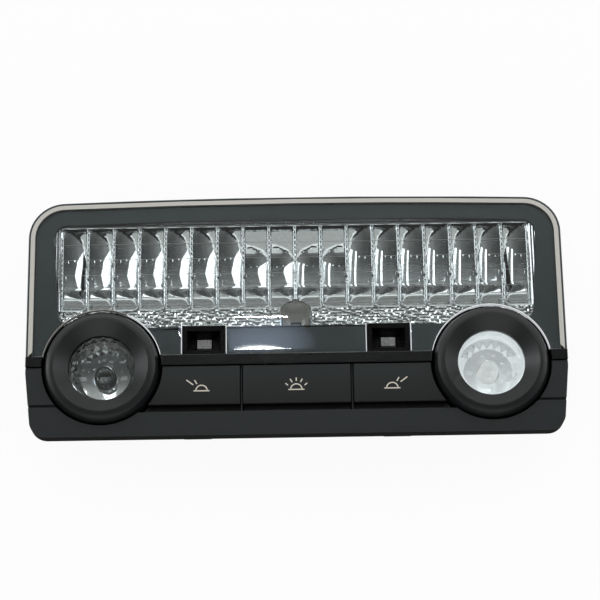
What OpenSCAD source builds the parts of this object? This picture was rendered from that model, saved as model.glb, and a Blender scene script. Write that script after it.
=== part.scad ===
// Car dome light: a roof lamp with a clear main window, two swivelling reading lamps and three buttons.
// It lies on its back with its face up: +X to the right of the face, +Y to its top edge, +Z out of it.
// Every piece is drawn from the datum: the face plane, at mid width, on the line through both lamps.

/* [Face] */
// Width of the face across the ends of the rail
face_w = 190; // [186:1:206]
// Height of the face at mid width, from its lower edge to its bowed top edge
face_h = 87.6; // [85:0.2:96]
// How far the top edge drops from mid width to its corners
top_bow = 1.2; // [0.6:0.1:2]
// Radius of the two top corners
top_r = 13; // [10:0.5:15]
// Radius of the two bottom corners
bottom_r = 6; // [4.5:0.5:8]
// How much narrower each side is at its bottom corner
side_taper = 1.7; // [0.6:0.1:2.2]
// Height above the lower edge at which the sides reach their full width
taper_h = 23; // [16:0.5:24]
// Depth from the face plane to the back of the housing
body_depth = 28; // [27.5:0.5:34]

/* [Lower strip, buttons and rail] */
// Height of the fixed strip along the lower edge
strip_h = 8.4; // [8:0.1:9]
// Height of the dark groove between the strip and the buttons
groove_h = 2.6; // [2:0.1:3]
// Height of a button's face
button_h = 14; // [13.5:0.1:14.5]
// Width of the centre button
centre_button_w = 37.6; // [34:0.2:42]
// Gap between two buttons
button_gap = 1.1; // [0.8:0.1:1.6]
// Wall of a button
button_wall = 1.2; // [1:0.1:1.6]
// Depth of a button's skirt below the face
skirt_d = 6.5; // [6:0.1:7]
// Depth of the ledge of a button that closes the groove
ledge_d = 3.4; // [3:0.1:4]
// Depth of the lower end of a button's stem
stem_d = 9; // [8.6:0.1:9.4]
// How far a button goes in
button_travel = 1.2; // [0.8:0.1:1.4]
// Height of the rail
rail_h = 3.8; // [3:0.1:4.2]
// How far the rail stands proud of the face
rail_up = 0.6; // [0.3:0.1:1]
// Width of the grooves below the two end blocks
end_groove = 1; // [0.7:0.1:1.3]

/* [Front frame] */
// Depth of the frame's rim, down to the seat on the roof lining
rim_d = 6; // [5.5:0.1:6.4]
// Wall of the frame's rim
rim_t = 2; // [1.8:0.1:2.1]
// Thickness of the frame's lower plate
plate_t = 2.4; // [2:0.1:2.8]
// Thickness of the deck under the lens
deck_t = 2; // [1.6:0.1:2.2]
// Running gap round a button
button_fit = 0.25; // [0.2:0.05:0.35]

/* [Lens] */
// Thickness of the lens
lens_t = 2; // [1.6:0.1:2.2]
// Frame edge that shows round the lens
lens_inset = 0.5; // [0.4:0.1:0.8]
// Width of the lens's pale edge
edge_w = 1.5; // [1.2:0.1:1.8]
// Depth of the lens's edge below its back
edge_d = 1.2; // [0.8:0.1:1.4]
// Clearance round the lens
lens_fit = 0.15; // [0.1:0.05:0.25]

/* [Window and main reflector] */
// Dark band between the side of the face and the window, at the window's top
band_side = 8.8; // [8:0.1:11]
// How much narrower each side of the window is at its bottom
window_taper = 2; // [1:0.1:3]
// Dark band above the window
band_top = 7.9; // [7:0.1:10]
// Height of the window's lower edge above the lamps' centre line
window_low = 14.7; // [14.6:0.1:16]
// Radius of the window's top corners
window_top_r = 5; // [4:0.5:7]
// Radius of the window's bottom corners
window_low_r = 6; // [4.5:0.5:8]
// Overlap of the reflector under the deck
lip_w = 1.2; // [0.8:0.1:1.4]
// Number of scoops on each side of the middle
scoops = 9; // [8:1:9]
// Radius of a scoop's hollow
scoop_r = 12.1; // [11.6:0.1:12.8]
// Width of the fluted strip between the last scoop and the end of the window
flute_room = 2.77; // [2.5:0.01:3.5]
// Number of shorter scoops next to the middle, on each side
short_scoops = 2; // [1:1:3]
// Thickness of the rib between two scoops
scoop_rib = 0.12; // [0.1:0.02:0.3]
// Height of the hammered rim below the scoops
hammered_h = 6.2; // [5:0.1:8]
// Height of the plain rim above the scoops
plain_h = 1.2; // [1:0.1:3]
// How much shorter the scoops next to the middle are
short_drop = 7.2; // [5:0.1:8]
// Depth of the main reflector
reflector_d = 11; // [10.8:0.1:12]
// Wall of the main reflector
reflector_t = 1.4; // [1.2:0.1:1.5]
// Depth of the pocket above the short scoops
brow_d = 3; // [2:0.1:4]
// Drop of the plain rim's inner edge above the short scoops
brow_edge = 0.8; // [0.6:0.1:1.2]
// Radius of the flutes at the window's ends
flute_r = 0.45; // [0.3:0.05:0.45]
// Number of flutes at each end
flutes = 3; // [2:1:3]
// Pitch of the flutes
flute_pitch = 1; // [0.95:0.01:1]

/* [Main bulb] */
// Radius of the bulb's glass
bulb_r = 5.4; // [4.9:0.1:5.5]
// Thickness of every bulb's glass
glass_t = 0.6; // [0.5:0.1:0.8]
// Height of the bulb's tip above the lamps' centre line
bulb_tip = 28; // [26:0.5:29]
// Length of the bulb's glass
bulb_l = 21; // [19:0.5:22]
// How far the bulb's tip reaches up behind the scoops
bulb_over = 2.8; // [2:0.1:3.4]
// Depth of the bulb's axis below the face
bulb_depth = 11.7; // [11.5:0.1:12.2]
// Radius of the bulb holder
holder_r = 5.4; // [5.2:0.1:5.5]
// Length of the bulb holder
holder_l = 7.4; // [6.8:0.1:7.4]

/* [Reading lamps] */
// Distance from a reading lamp's centre to the side of the face
spot_edge = 26.6; // [26.2:0.1:28]
// Radius of the round opening in the face
opening_r = 21; // [20.9:0.05:21.1]
// Radius of the bezel where it passes the face plane
bezel_r = 19.85; // [19.6:0.05:19.9]
// Depth of the swivel point below the face
pivot_d = 6; // [5.8:0.1:6.4]
// How far the bezel's crest stands proud of the face
crest_up = 3; // [2.5:0.1:3.4]
// Radius of the bezel's crest
crest_r = 16.6; // [16:0.1:17]
// Radius of the rounding outside the bezel's crest
crest_round = 3.5; // [3.2:0.1:3.8]
// Radius of the hole that shows the spot lens
hole_r = 11.8; // [11:0.1:11.9]
// Depth of the hole's edge below the face
hole_d = 0.8; // [0.6:0.1:1.2]
// Wall of the bezel's skirt
bezel_t = 1.5; // [1.4:0.05:1.55]
// Bore of the lamp's cup
cup_bore_r = 12.4; // [12.2:0.05:12.5]
// Wall of the lamp's cup
cup_t = 0.8; // [0.7:0.05:0.85]
// Bore of the cup's neck
neck_r = 6.5; // [6:0.1:6.8]
// Depth of the neck's end below the face
neck_d = 18; // [17.5:0.1:18.4]
// Thickness of the spot lens's flange
spot_lens_t = 1.4; // [1.2:0.1:1.6]
// Height of the spot lens's dome
dome_h = 2.6; // [2:0.1:3]
// Wall of the spot reflector
bowl_t = 0.8; // [0.6:0.1:1]
// Radius of a spot bulb's glass
spot_bulb_r = 2.8; // [2.4:0.1:3]
// Depth of a spot bulb's tip below the face
spot_bulb_tip = 7.5; // [7:0.1:9]

/* [Gimbal] */
// Inner radius of a gimbal ring
gimbal_in_r = 13.9; // [13.85:0.05:14]
// Outer radius of a gimbal ring
gimbal_out_r = 16.1; // [16:0.05:16.2]
// Height of a gimbal ring
gimbal_h = 4.4; // [4.2:0.1:4.6]
// Radius of every swivel pin
pin_r = 1.5; // [1.2:0.05:1.6]
// Running clearance of every swivel pin
pin_fit = 0.05; // [0.03:0.01:0.08]
// Radius of the inner face of a housing post
post_in_r = 16.6; // [16.5:0.05:16.8]
// Thickness of a housing post
post_t = 2; // [1.8:0.05:2.05]
// Width of a housing post
post_w = 6.4; // [6:0.1:7]

/* [Light pockets] */
// Distance from a reading lamp's centre to the middle of its light pocket
pocket_in = 35.9; // [35:0.1:37]
// Width of a light pocket
pocket_w = 14.9; // [14:0.1:16]
// Height of a light pocket
pocket_h = 10.3; // [10:0.1:10.4]
// Wall of a light pocket's mouth
pocket_t = 1.6; // [1.2:0.1:1.8]
// Depth of the funnel
funnel_d = 5; // [4:0.1:5.5]
// Depth of the whole guide holder
pocket_d = 9; // [8:0.1:10]
// Width of a light guide
guide_w = 5.05; // [4.6:0.05:5.4]
// Height of a light guide
guide_h = 3.2; // [3:0.05:3.6]
// Clearance round a light guide
guide_fit = 0.1; // [0.05:0.01:0.15]
// How far a light guide stands up into the funnel
guide_up = 0.3; // [0.2:0.1:0.6]
// Width of the lip that holds a light guide under its holder
guide_lip = 1; // [0.8:0.1:1.2]
// Thickness of that lip
guide_lip_t = 1.5; // [1:0.1:2]

/* [Housing] */
// Distance from the edge of the face to the outside of the housing
housing_in = 2.2; // [2.15:0.05:2.3]
// Wall of the housing
housing_t = 1.6; // [1.5:0.05:1.65]
// Floor of the housing
floor_t = 2; // [1.6:0.1:2]
// How far the lower wall steps in below the hooks, out of sight behind the rim
heel_in = 6.2; // [5.8:0.1:6.2]
// Height above the lamps' centre line where the deep chamber ends
chamber_top = 26; // [24:0.5:32]
// Depth of the shallow chamber below the face
shallow_d = 20; // [19:0.5:22]
// Distance from the side of the face to a fixing tower
tower_in = 25; // [23:0.5:35]
// Height of a fixing tower above the lamps' centre line
tower_up = 46; // [42:0.5:48]
// Radius of a fixing tower
tower_r = 6; // [5:0.1:7]
// Radius of the screw hole in a fixing tower
tower_bore_r = 2.1; // [1.6:0.05:2.6]
// Width of a hook on the lower wall
hook_w = 10; // [8:0.5:14]
// Distance from mid width to a hook
hook_x = 35; // [20:0.5:44]
// How far a hook and a spring clip stand out of the wall
hook_out = 1.3; // [1.2:0.1:1.7]
// Height of a hook
hook_h = 3.6; // [3:0.1:4.5]
// Thickness of a hook's tip
hook_tip = 2.6; // [2:0.1:2.8]
// Room between the rim's seat and the hooks for the edge of the roof lining
roof_gap = 3; // [2.5:0.1:4]
// Width of a spring clip
clip_w = 10; // [6:0.5:14]
// Height of the spring clips above the lamps' centre line
clip_up = 16; // [10:0.5:18]
// Depth of the upper end of a spring clip
clip_top = 8.4; // [8.2:0.1:9]
// Depth of the bend of a spring clip
clip_low = 20; // [18:0.5:22]
// Thickness of a spring clip's leaf
clip_t = 0.6; // [0.5:0.05:0.7]

/* [Circuit board and switches] */
// Depth of the board's front below the face
board_d = 17.5; // [17.3:0.1:18]
// Thickness of the board
board_t = 1.6; // [1.2:0.1:1.8]
// Height of the board
board_h = 28; // [27.5:0.5:29]
// Gap between the board and the round space of a reading lamp
board_gap = 1.5; // [1:0.1:3]
// Radius of a board screw's shank
screw_r = 1.25; // [1:0.05:1.4]
// Room below the end of a board screw
screw_room = 1.9; // [1.4:0.1:3]
// Height of a screw's head
screw_head_h = 1.6; // [1.2:0.1:2]
// Width of the slots in a screw's head
screw_slot = 0.6; // [0.5:0.1:0.7]
// Distance from the board's edges to its screws
screw_in = 3.6; // [3.2:0.1:4]
// Side of a switch body
switch_w = 7; // [6:0.1:7]
// Height of a switch body
switch_h = 5; // [4.5:0.1:5.5]
// Radius of a switch plunger
plunger_r = 1.5; // [1.2:0.05:1.7]
// Running clearance of a switch plunger
plunger_fit = 0.08; // [0.05:0.01:0.1]
// Distance from a reading lamp's centre to the middle of its switch
switch_in = 33.8; // [33:0.1:36]
// Height of the switches below the lamps' centre line
switch_down = 8; // [7.8:0.1:9]
// Side of an LED
led_w = 2.8; // [2:0.1:3]
// Height of an LED
led_h = 1.1; // [0.8:0.1:1.4]
// Width of the connector
plug_w = 26; // [20:0.5:30]
// Height of the connector
plug_h = 12.8; // [12.6:0.1:14]
// Wall of the connector
plug_t = 1.2; // [1:0.1:1.3]
// Number of pins in the connector
plug_pins = 6; // [3:1:8]
// Side of a connector pin
plug_pin = 0.64; // [0.5:0.02:0.8]
// Depth of the pins' ends inside the connector's mouth
plug_pin_in = 2; // [1:0.1:4]
// Pitch of the connector pins
plug_pitch = 3.4; // [2.5:0.1:4]

/* [Hidden] */
$fn = 96;

// Heights on the face, measured from the lamps' centre line
strip_top = -(groove_h + button_h);
low_edge = strip_top - strip_h;
top_edge = low_edge + face_h;
button_low = -button_h;
rail_low = button_fit;
rail_top = rail_low + rail_h;
half_w = face_w / 2;
spot_x = half_w - spot_edge;
datum_y = -low_edge - face_h / 2;
pocket_x = spot_x - pocket_in;
switch_x = spot_x - switch_in;
tower_x = half_w - tower_in;

// Depths below the face plane
deck_low = lens_t + deck_t;
board_low = board_d + board_t;
inner_floor = body_depth - floor_t;
heel_d = rim_d + roof_gap + hook_h + 1;
past = 1;
tiny = 0.01;
groove_d = 1;
cut_fit = 0.1;

// The bezel is part of a ball about the swivel point
ball_r = sqrt(pow(bezel_r, 2) + pow(pivot_d, 2));
bezel_in_r = ball_r - bezel_t;
spot_clear_r = opening_r + 0.1;
pin_bore_r = pin_r + pin_fit;
pin_end = 0.2;
crest_a = 48;
roof_t = 1.7;
neck_ledge = 0.4;
cup_fit = 0.05;
spot_seat_h = 2.4;
spot_flange_t = 1.5;
lamp_room = 3;
spot_socket_l = inner_floor - neck_d - lamp_room;
neck_a = asin((neck_r + neck_ledge) / cup_bore_r);
bowl_end_a = asin((neck_r + 1.5 * neck_ledge) / cup_bore_r);
spot_foot = neck_d + 1;
spot_neck_r = spot_bulb_r - 0.5;
filament_fit = 0.05;
main_bead_h = 2.4;
main_coil = 3.2;
main_reach = 9;
spot_bead_h = 2;
spot_coil = 1.6;
spot_reach = 5;
wire_r = 0.25;
coil_r = 0.4;
wire_lap = 0.3;

// Main window
window_top = top_edge - band_top;
window_half = half_w - band_side;
reflector_low = deck_low + reflector_d;
scoop_low = window_low + hammered_h;
scoop_pitch = (window_half - flute_room) / scoops;
scoop_rise = sqrt(pow(scoop_r, 2) - pow(scoop_pitch, 2));
scoop_top = window_top - top_bow - plain_h;
slot_gap = 0.9;
slot_frame = 4;
bulb_slot_r = bulb_r + slot_gap;
bulb_neck = 3.4;
seat_d = 1;
reflector_gap = 0.3;

// Board and what stands on it
board_half = spot_x - spot_clear_r - board_gap;
board_edge_gap = 1;
board_low_v = low_edge + heel_in + housing_t + board_edge_gap;
board_top_v = board_low_v + board_h;
screw_v = [board_low_v + screw_in, board_top_v - screw_in];
boss_r = 3;
screw_l = inner_floor - board_low - screw_room;
plug_low_v = (board_low_v + board_top_v - plug_h) / 2 - lens_fit;
plunger_in = 3;
plunger_low = board_d - plunger_in;
plunger_end = 0.3;
switch_collar = 0.6;

// Ribs between the buttons
divider_x = centre_button_w / 2 + button_gap / 2;
divider_t = button_gap - 2 * button_fit;
foot_w = 4.4;
divider_d = 1.2;
foot_gap = 0.3;
foot_top = skirt_d + button_travel + foot_gap;
foot_low = foot_top + deck_t;
foot_lap = 1.4;

// Buttons
side_button_in = centre_button_w / 2 + button_gap;
button_end_r = opening_r + 0.4;
button_sink = 0.1;
button_post_r = 2.2;

// Points on an arc about a centre, from angle a0 to a1
function arc(cx, cy, r, a0, a1, n) =
    [for (i = [0 : n]) [cx + r * cos(a0 + (a1 - a0) * i / n), cy + r * sin(a0 + (a1 - a0) * i / n)]];

// Half section of a ball of radius r about height z, from angle a0 to a1 off its axis
function ball_arc(r, z, a0, a1, n) =
    [for (i = [0 : n]) let (a = a0 + (a1 - a0) * i / n) [r * sin(a), z + r * cos(a)]];

// The same points on the left side, in reverse order
function flip(points) = [for (i = [len(points) - 1 : -1 : 0]) [-points[i][0], points[i][1]]];

// A crowned edge from +w to -w that drops by bow at its ends
function bow_line(w, y, bow, n) =
    [for (i = [0 : n]) let (x = w * (1 - 2 * i / n)) [x, y - bow * pow(x / w, 2)]];

// Outline of the face, drawn in by d from its edge
function face_points(d) =
    let (
        low = arc(half_w - side_taper - bottom_r, low_edge + bottom_r, bottom_r - d, -90, 0, 8),
        side = [[half_w - d, low_edge + taper_h]],
        high = arc(half_w - top_r, top_edge - top_bow - top_r, top_r - d, 0, 90, 12),
        right = concat(low, side, high),
        bow = bow_line(half_w - top_r, top_edge - d, top_bow, 16)
    )
    concat(right, [for (i = [1 : 15]) bow[i]], flip(right));

// Outline of the window, grown by d past its edge
function window_points(d) =
    let (
        low_half = window_half - window_taper,
        low = arc(low_half - window_low_r, window_low + window_low_r, window_low_r + d, -90, 0, 8),
        high_v = window_top - top_bow - window_top_r,
        high = arc(window_half - window_top_r, high_v, window_top_r + d, 0, 90, 8),
        right = concat(low, high),
        bow = bow_line(window_half - window_top_r, window_top + d, top_bow, 16)
    )
    concat(right, [for (i = [1 : 15]) bow[i]], flip(right));

module datum() {
    translate([0, datum_y, body_depth]) children();
}

module at_spot(side) {
    datum() translate([side * spot_x, 0, 0]) children();
}

// A plate between two depths below the face
module slab(from, to) {
    translate([0, 0, -to]) linear_extrude(to - from) children();
}

// A box between two corners on the face and two depths below it
module block(x0, x1, v0, v1, from, to) {
    translate([x0, v0, -to]) cube([x1 - x0, v1 - v0, to - from]);
}

// A round space of both reading lamps
module spot_holes(r, from, to) {
    for (side = [-1, 1])
        translate([side * spot_x, 0, -to]) cylinder(r = r, h = to - from);
}

// The stepped form of the housing from depth top on: drawn in by t, with its floors f higher
module housing_form(top, t, f) {
    heel_v = low_edge + heel_in + t;
    intersection() {
        slab(top, body_depth - f) polygon(face_points(housing_in + t));
        union() {
            block(-half_w, half_w, low_edge, top_edge, top, heel_d - t);
            block(-half_w, half_w, heel_v, top_edge, top, shallow_d - f);
            block(-half_w, half_w, heel_v, chamber_top - t, top, body_depth - f);
        }
    }
}

module rear_housing() {
    color("#26292b") datum() difference() {
        union() {
            difference() {
                housing_form(deck_low, 0, 0);
                housing_form(deck_low - past, housing_t, floor_t);
            }
            fixing_towers();
            board_bosses();
            gimbal_posts();
            hooks();
        }
        for (side = [-1, 1]) {
            translate([side * tower_x, tower_up, -body_depth - past])
                cylinder(r = tower_bore_r, h = body_depth);
            for (up = screw_v)
                translate([side * (board_half - screw_in), up, -inner_floor])
                    cylinder(r = screw_r + pin_fit, h = body_depth);
        }
        block(-plug_w / 2 - lens_fit, plug_w / 2 + lens_fit,
            plug_low_v, plug_low_v + plug_h + 2 * lens_fit, inner_floor - past, body_depth + past);
    }
}

module fixing_towers() {
    for (side = [-1, 1])
        translate([side * tower_x, tower_up, -body_depth])
            cylinder(r = tower_r, h = body_depth - shallow_d + floor_t);
}

module board_bosses() {
    for (side = [-1, 1], up = screw_v)
        translate([side * (board_half - screw_in), up, -inner_floor])
            cylinder(r = boss_r, h = inner_floor - board_low);
}

module gimbal_posts() {
    post_top = pivot_d - gimbal_h / 2 - pin_end;
    for (side = [-1, 1], end = [-1, 1])
        translate([side * spot_x, 0, 0]) difference() {
            block(-post_w / 2, post_w / 2, end > 0 ? post_in_r : -post_in_r - post_t,
                end > 0 ? post_in_r + post_t : -post_in_r, post_top, inner_floor + tiny);
            translate([0, end * (post_in_r - past), -pivot_d]) rotate([-90 * end, 0, 0])
                cylinder(r = pin_bore_r, h = post_t + 2 * past);
        }
}

module hooks() {
    for (side = [-1, 1])
        translate([side * hook_x - hook_w / 2, low_edge + housing_in, -rim_d - roof_gap]) rotate([90, 0, 90])
            linear_extrude(hook_w)
                polygon([[housing_t / 2, 0], [0, -hook_h], [-hook_out, hook_tip - hook_h], [-hook_out, 0]]);
}

module front_frame() {
    color("#1c1e1f") datum() difference() {
        union() {
            slab(0, rim_d) polygon(face_points(0));
            intersection() {
                slab(-rail_up, 0) polygon(face_points(0));
                block(-half_w, half_w, rail_low, rail_top, -rail_up, past);
            }
            divider_feet();
        }
        // Seat of the lens, with a channel for its edge
        intersection() {
            slab(-past, lens_t) polygon(face_points(lens_inset));
            block(-half_w, half_w, rail_top, top_edge, -past, lens_t);
        }
        intersection() {
            difference() {
                slab(0, lens_t + edge_d) polygon(face_points(lens_inset));
                slab(-past, lens_t + edge_d + past) polygon(face_points(lens_inset + edge_w + lens_fit));
            }
            block(-half_w, half_w, rail_top, top_edge, 0, lens_t + edge_d);
        }
        slab(lens_t - past, deck_low + past) polygon(window_points(0));
        // Hollow behind the deck and behind the lower plate
        intersection() {
            slab(deck_low, rim_d + past) polygon(face_points(rim_t));
            block(-half_w, half_w, rail_top, top_edge, deck_low, rim_d + past);
        }
        difference() {
            slab(plate_t, rim_d + past) polygon(face_points(rim_t));
            block(-half_w, half_w, rail_top, top_edge, 0, rim_d + 2 * past);
            block(-spot_x, spot_x, strip_top - foot_lap, rail_top, 0, rim_d + 2 * past);
        }
        // Openings for the buttons, the reading lamps and the light pockets
        difference() {
            block(-spot_x, spot_x, strip_top, rail_low, -past, rim_d + past);
            button_dividers();
        }
        spot_holes(opening_r, -past - rail_up, rim_d + past);
        pocket_space(cut_fit, deck_low + past);
        // Grooves round the two end blocks
        for (side = [0, 1]) mirror([side, 0, 0]) {
            block(spot_x, half_w + past, button_low - end_groove / 2, button_low + end_groove / 2,
                -past, groove_d);
            block(spot_x, half_w + past, rail_low - button_fit, rail_low, -past, groove_d);
        }
    }
}

// The room of both guide holders in the pieces about them, with a gap round it
module pocket_space(gap, to) {
    for (side = [-1, 1])
        block(side * pocket_x - pocket_w / 2 - gap, side * pocket_x + pocket_w / 2 + gap,
            rail_top - tiny, rail_top + pocket_h + gap, -past, to);
}

// Ribs between the buttons, which join the strip to the rail
module button_dividers() {
    for (side = [-1, 1])
        block(side * divider_x - divider_t / 2, side * divider_x + divider_t / 2,
            strip_top, rail_low, divider_d, rim_d + 2 * past);
}

// A foot under each rib, below the skirts of the pressed buttons
module divider_feet() {
    for (side = [-1, 1])
        translate([side * divider_x, 0, 0]) difference() {
            block(-foot_w / 2, foot_w / 2, strip_top - foot_lap, rail_top, plate_t, foot_low);
            block(-foot_w, -divider_t / 2, strip_top, rail_low, 0, foot_top);
            block(divider_t / 2, foot_w, strip_top, rail_low, 0, foot_top);
        }
}

module lens_panel() {
    edge = lens_inset + lens_fit;
    color("#cfd6d8", 0.45) datum() difference() {
        intersection() {
            union() {
                slab(0, lens_t) polygon(face_points(edge));
                difference() {
                    slab(0, lens_t + edge_d - cut_fit) polygon(face_points(edge));
                    slab(lens_t, lens_t + edge_d + past) polygon(face_points(edge + edge_w - lens_fit));
                }
            }
            block(-half_w, half_w, rail_top + lens_fit, top_edge, -past, lens_t + edge_d);
        }
        spot_holes(opening_r, -past, deck_low);
        pocket_space(2 * lens_fit, deck_low);
    }
}

// One scoop: a shallow groove with ball ends about the outer side of its cell, grown by d
module scoop(i, d) {
    top = i < short_scoops ? scoop_top - short_drop : scoop_top;
    x_in = i * scoop_pitch;
    x_out = x_in + scoop_pitch;
    intersection() {
        block(x_in - d, x_out - scoop_rib + d, scoop_low - d, top + d, deck_low - d - past, reflector_low);
        translate([x_out, 0, scoop_rise - deck_low]) union() {
            translate([0, scoop_low + scoop_pitch, 0]) rotate([-90, 0, 0])
                cylinder(r = scoop_r + d, h = top - scoop_low - 2 * scoop_pitch);
            for (end = [scoop_low + scoop_pitch, top - scoop_pitch])
                translate([0, end, 0]) sphere(r = scoop_r + d);
        }
    }
}

module main_reflector() {
    brow_low = scoop_top - short_drop + brow_edge;
    color("#c9cdd0") datum() difference() {
        intersection() {
            union() {
                slab(deck_low, deck_low + reflector_t) polygon(window_points(lip_w));
                for (side = [0, 1], i = [0 : scoops - 1]) mirror([side, 0, 0]) scoop(i, reflector_t);
                block(-bulb_slot_r - slot_frame, bulb_slot_r + slot_frame,
                    window_low, scoop_low + reflector_t, deck_low, reflector_low);
                // Backing of the pocket above the short scoops
                block(-short_scoops * scoop_pitch, short_scoops * scoop_pitch,
                    brow_low - reflector_t, scoop_top, deck_low, deck_low + brow_d + reflector_t);
            }
            slab(deck_low, reflector_low) polygon(window_points(lip_w));
        }
        for (side = [0, 1], i = [0 : scoops - 1]) mirror([side, 0, 0]) scoop(i, 0);
        // Sloping pocket above the short scoops
        translate([-short_scoops * scoop_pitch, 0, -deck_low]) rotate([90, 0, 90])
            linear_extrude(2 * short_scoops * scoop_pitch)
                polygon([[brow_low, past], [brow_low, -brow_d], [scoop_top, 0], [scoop_top, past]]);
        // Flutes at both ends of the window
        for (side = [-1, 1], i = [0 : flutes - 1])
            translate([side * (scoops * scoop_pitch + flute_pitch * (i + 0.55)), scoop_low, -deck_low])
                rotate([-90, 0, 0]) cylinder(r = flute_r, h = scoop_top - scoop_low);
        // Slot for the main bulb
        block(-bulb_slot_r, bulb_slot_r, window_low - lip_w - past, bulb_tip - bulb_over,
            deck_low - past, reflector_low + past);
        spot_holes(spot_clear_r + reflector_gap, 0, reflector_low + past);
        pocket_space(reflector_gap, reflector_low + past);
    }
}

// Half section of a bulb's glass: a dome, a straight wall and a drawn-in neck, open at its foot
module glass_section(r, length, neck) {
    shoulder = r - neck + 1;
    bore = r - glass_t;
    outer = concat([[neck, 0], [r, shoulder]], arc(0, length - r, r, 0, 90, 10));
    foot = [[bore, shoulder + 0.7 * glass_t], [neck - glass_t, 0]];
    inner = concat(arc(0, length - r, bore, 90, 0, 10), foot);
    polygon(concat(outer, inner));
}

// The bead, its two wires and the coil between them
module filament(bead_r, height, spread, reach) {
    cylinder(r = bead_r, h = height);
    for (side = [-1, 1])
        translate([side * spread, 0, height - tiny]) cylinder(r = wire_r, h = reach + wire_lap);
    translate([-spread, 0, height + reach]) rotate([0, 90, 0]) cylinder(r = coil_r, h = 2 * spread);
}

module along_board() {
    datum() translate([0, bulb_tip - bulb_l, -bulb_depth]) rotate([-90, 0, 0]) children();
}

module main_bulb() {
    color("#e6ecee", 0.4) along_board() rotate_extrude() glass_section(bulb_r, bulb_l, bulb_neck);
}

module main_filament() {
    bead_r = bulb_neck - glass_t - filament_fit;
    color("#8d8f90") along_board() filament(bead_r, main_bead_h, main_coil / 2, main_reach);
}

module main_bulb_holder() {
    foot = board_d - bulb_depth;
    color("#e9e6dc") along_board() difference() {
        union() {
            translate([0, 0, seat_d - holder_l]) cylinder(r = holder_r, h = holder_l);
            translate([-holder_r, 0, seat_d - holder_l]) cube([2 * holder_r, foot, holder_l]);
        }
        cylinder(r = bulb_neck + seat_d, h = seat_d + past);
    }
}

module guide_holder(side) {
    slot_w = guide_w + 2 * guide_fit;
    slot_h = guide_h + 2 * guide_fit;
    color("#141516") datum() translate([side * pocket_x, rail_top + pocket_h / 2, 0]) difference() {
        translate([-pocket_w / 2, -pocket_h / 2, -pocket_d]) cube([pocket_w, pocket_h, pocket_d + cut_fit]);
        hull() {
            translate([0, 0, cut_fit])
                cube([pocket_w - 2 * pocket_t, pocket_h - 2 * pocket_t, past / 2], center = true);
            translate([0, 0, -funnel_d]) cube([slot_w, slot_h, tiny], center = true);
        }
        translate([-slot_w / 2, -slot_h / 2, -pocket_d - past]) cube([slot_w, slot_h, pocket_d]);
    }
}

module light_guide(side) {
    top = funnel_d - guide_up;
    low = board_d - led_h;
    color("#eef2f4", 0.6) datum() translate([side * pocket_x, rail_top + pocket_h / 2, 0]) union() {
        block(-guide_w / 2, guide_w / 2, -guide_h / 2, guide_h / 2, top, low);
        block(-guide_w / 2 - guide_lip, guide_w / 2 + guide_lip, -guide_h / 2, guide_h / 2,
            pocket_d, pocket_d + guide_lip_t);
    }
}

module led(side) {
    color("#f3efd8") datum() translate([side * pocket_x, rail_top + pocket_h / 2, 0])
        block(-led_w / 2, led_w / 2, -led_w / 2, led_w / 2, board_d - led_h, board_d);
}

module circuit_board() {
    color("#1f5a38") datum() difference() {
        block(-board_half, board_half, board_low_v, board_top_v, board_d, board_low);
        for (side = [-1, 1], up = screw_v)
            translate([side * (board_half - screw_in), up, -board_low - past])
                cylinder(r = screw_r + foot_gap, h = board_t + 2 * past);
    }
}

module board_screws() {
    head_r = 2 * screw_r;
    slot_z = screw_head_h - 1.5 * screw_slot;
    color("#b9bcbe") datum() for (side = [-1, 1], up = screw_v)
        translate([side * (board_half - screw_in), up, -board_d]) difference() {
            union() {
                translate([0, 0, -board_t - screw_l]) cylinder(r = screw_r, h = board_t + screw_l + tiny);
                cylinder(r1 = head_r, r2 = 0.8 * head_r, h = screw_head_h);
            }
            for (turn = [0, 90])
                rotate([0, 0, turn]) translate([-head_r / 2, -screw_slot / 2, slot_z])
                    cube([head_r, screw_slot, past]);
        }
}

module connector_header() {
    color("#2b2d2e") datum() translate([0, plug_low_v + lens_fit, 0]) difference() {
        block(-plug_w / 2, plug_w / 2, 0, plug_h, board_low, body_depth);
        block(-plug_w / 2 + plug_t, plug_w / 2 - plug_t, plug_t, plug_h - plug_t,
            board_low + plug_t, body_depth + past);
        for (i = [0 : plug_pins - 1])
            translate([(i - (plug_pins - 1) / 2) * plug_pitch, plug_h / 2, -board_low - plug_t])
                cube([plug_pin, plug_pin, 3 * plug_t], center = true);
    }
}

module connector_pins() {
    color("#c7a24a") datum() translate([0, plug_low_v + lens_fit, 0])
        for (i = [0 : plug_pins - 1])
            translate([(i - (plug_pins - 1) / 2) * plug_pitch, plug_h / 2, 0])
                block(-plug_pin / 2, plug_pin / 2, -plug_pin / 2, plug_pin / 2,
                    board_low, body_depth - plug_pin_in);
}

module switch_body(x) {
    color("#2e3133") datum() translate([x, -switch_down, -board_d]) difference() {
        union() {
            translate([-switch_w / 2, -switch_w / 2, 0]) cube([switch_w, switch_w, switch_h]);
            translate([0, 0, switch_h - tiny]) cylinder(r = switch_w / 2 - switch_collar, h = switch_collar);
        }
        translate([0, 0, plunger_in - button_travel - plunger_end])
            cylinder(r = plunger_r + plunger_fit, h = switch_h + past);
    }
}

module plunger(x) {
    color("#e8e4d6") datum() translate([x, -switch_down, -plunger_low])
        cylinder(r = plunger_r, h = plunger_low - stem_d);
}

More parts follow.
